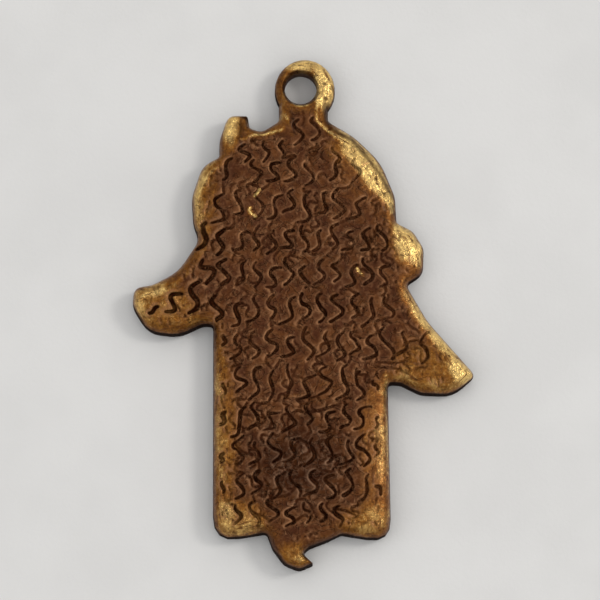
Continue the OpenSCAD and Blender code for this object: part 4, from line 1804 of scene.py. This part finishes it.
@dataclass(frozen=True)
class MattPaper:
    """The pale matt sheet that the pendant lies on."""

    name: str = "pale_paper"
    colour: Colour = (0.78, 0.78, 0.775)
    shade: Colour = (0.745, 0.745, 0.74)
    cloud_scale: float = 0.09  # lumps in a millimetre
    cloud_edge: tuple[float, float] = (0.35, 0.65)
    fibre_scale: float = 3.0
    fibre_height: float = 0.02
    rough: float = 0.85
    specular: float = 0.2

    def material(self) -> bpy.types.Material:
        """Builds the material.

        Returns:
            The material.
        """
        made, shader = new_material(self.name)
        graph = Graph(made.node_tree)
        place = graph.place()
        clouds = graph.noise(place, self.cloud_scale, detail=3, rough=0.6)
        cloudy = graph.step(clouds, *self.cloud_edge)
        fibres = graph.noise(place, self.fibre_scale, detail=4, rough=0.6)
        graph.feed(shader.inputs["Base Color"], graph.mix(cloudy, self.colour, self.shade))
        graph.feed(shader.inputs["Normal"], graph.bump(fibres, self.fibre_height))
        shader.inputs["Roughness"].default_value = self.rough
        shader.inputs["Specular IOR Level"].default_value = self.specular
        return made


@dataclass(frozen=True)
class SoftLight:
    """A square soft light that looks at the pendant."""

    name: str
    place: tuple[float, float, float]
    side: float
    power: float  # in watts
    colour: Colour


@dataclass
class Studio:
    """A pale floor, a soft light from the upper right, a weak fill and the camera."""

    floor_side: float = 1600.0
    floor_gap: float = 0.01  # how far the floor lies under the casting
    lens: float = 200.0
    sensor: float = 36.0
    view_width: float = 42.34  # what the frame takes in at the pendant
    elevation: float = 78.0
    aim: tuple[float, float, float] = (-0.199, 0.85, 1.0)
    sight: tuple[float, float] = (0.005, 10.0)  # nearest and farthest that the camera sees, in metres
    lights: tuple[SoftLight, ...] = (
        SoftLight("key", (235.0, 60.0, 255.0), 75.0, 0.24, (1.0, 0.97, 0.92)),
        SoftLight("fill", (-260.0, -60.0, 240.0), 260.0, 0.13, (0.93, 0.96, 1.0)),
    )
    sky: Colour = (0.88, 0.867, 0.853)
    dim_sky: Colour = (0.54, 0.533, 0.525)
    sky_strength: float = 0.945
    window_way: tuple[float, float, float] = (0.52, 0.25, 0.81)
    window_edge: tuple[float, float] = (-0.2, 1.0)  # where the sky starts to brighten, and is brightest

    def build(self) -> None:
        """Makes the floor, the lights, the sky and the camera."""
        self._floor()
        for light in self.lights:
            self._light(light)
        self._sky()
        self._camera()
        bpy.context.scene.view_settings.view_transform = "Standard"

    def _floor(self) -> None:
        """Lays the floor under the pendant."""
        half, level = self.floor_side / 2 * MM, -self.floor_gap * MM
        corners = [(x * half, y * half, level) for x, y in ((-1, -1), (1, -1), (1, 1), (-1, 1))]
        mesh = bpy.data.meshes.new("floor")
        mesh.from_pydata(corners, [], [(0, 1, 2, 3)])
        mesh.materials.append(MattPaper().material())
        floor = into_scene("floor", mesh)

    @staticmethod
    def _aimed(name: str, data: bpy.types.ID, place: Vector, way: Vector) -> bpy.types.Object:
        """Hangs up a light or the camera.

        Args:
            name: Its name.
            data: The light or the camera.
            place: Where it hangs.
            way: Where it looks.

        Returns:
            The object.
        """
        made = into_scene(name, data)
        made.location = place * MM
        made.rotation_mode = "QUATERNION"
        made.rotation_quaternion = way.to_track_quat("-Z", "Y")
        return made

    def _light(self, soft: SoftLight) -> None:
        """Hangs a light.

        Args:
            soft: The light.
        """
        light = bpy.data.lights.new(soft.name, "AREA")
        light.shape = "SQUARE"
        light.size = soft.side * MM
        light.energy = soft.power
        light.color = soft.colour
        self._aimed(soft.name, light, Vector(soft.place), -Vector(soft.place))

    def _sky(self) -> None:
        """Lights the scene weakly from all round, most from the window's side."""
        world = bpy.data.worlds.new("sky")
        world.use_nodes = True
        bpy.context.scene.world = world
        graph = Graph(world.node_tree)
        back = world.node_tree.nodes["Background"]
        facing = graph.add("VectorMath", operation="DOT_PRODUCT")
        graph.feed(facing.inputs[0], graph.add("TexCoord").outputs["Generated"])
        graph.feed(facing.inputs[1], self.window_way)
        near = graph.step(facing.outputs["Value"], *self.window_edge)
        graph.feed(back.inputs["Color"], graph.mix(near, self.dim_sky, self.sky))
        back.inputs["Strength"].default_value = self.sky_strength

    def _camera(self) -> None:
        """Sets the camera at the photo's angle."""
        camera = bpy.data.cameras.new("camera")
        camera.lens = self.lens
        camera.sensor_width = self.sensor
        camera.clip_start, camera.clip_end = self.sight
        away = self.view_width * self.lens / self.sensor
        lift = math.radians(self.elevation)
        back = Vector((0, -math.cos(lift), math.sin(lift)))
        bpy.context.scene.camera = self._aimed("camera", camera, Vector(self.aim) + back * away, -back)


def main() -> None:
    """Builds the pendant and its studio."""
    logging.basicConfig(level=logging.INFO, format="%(message)s")
    for old in list(bpy.data.objects):
        bpy.data.objects.remove(old)
    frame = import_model()
    piece = CastHand(AntiquedBrass("marked_back"), AntiquedBrass("plain_front")).build(frame)
    LOG.info("%s: %d triangles", piece.name, sum(len(p.vertices) - 2 for p in piece.data.polygons))
    Studio().build()
    LOG.info("studio: floor, two lights, sky and camera")


if __name__ == "__main__":
    main()
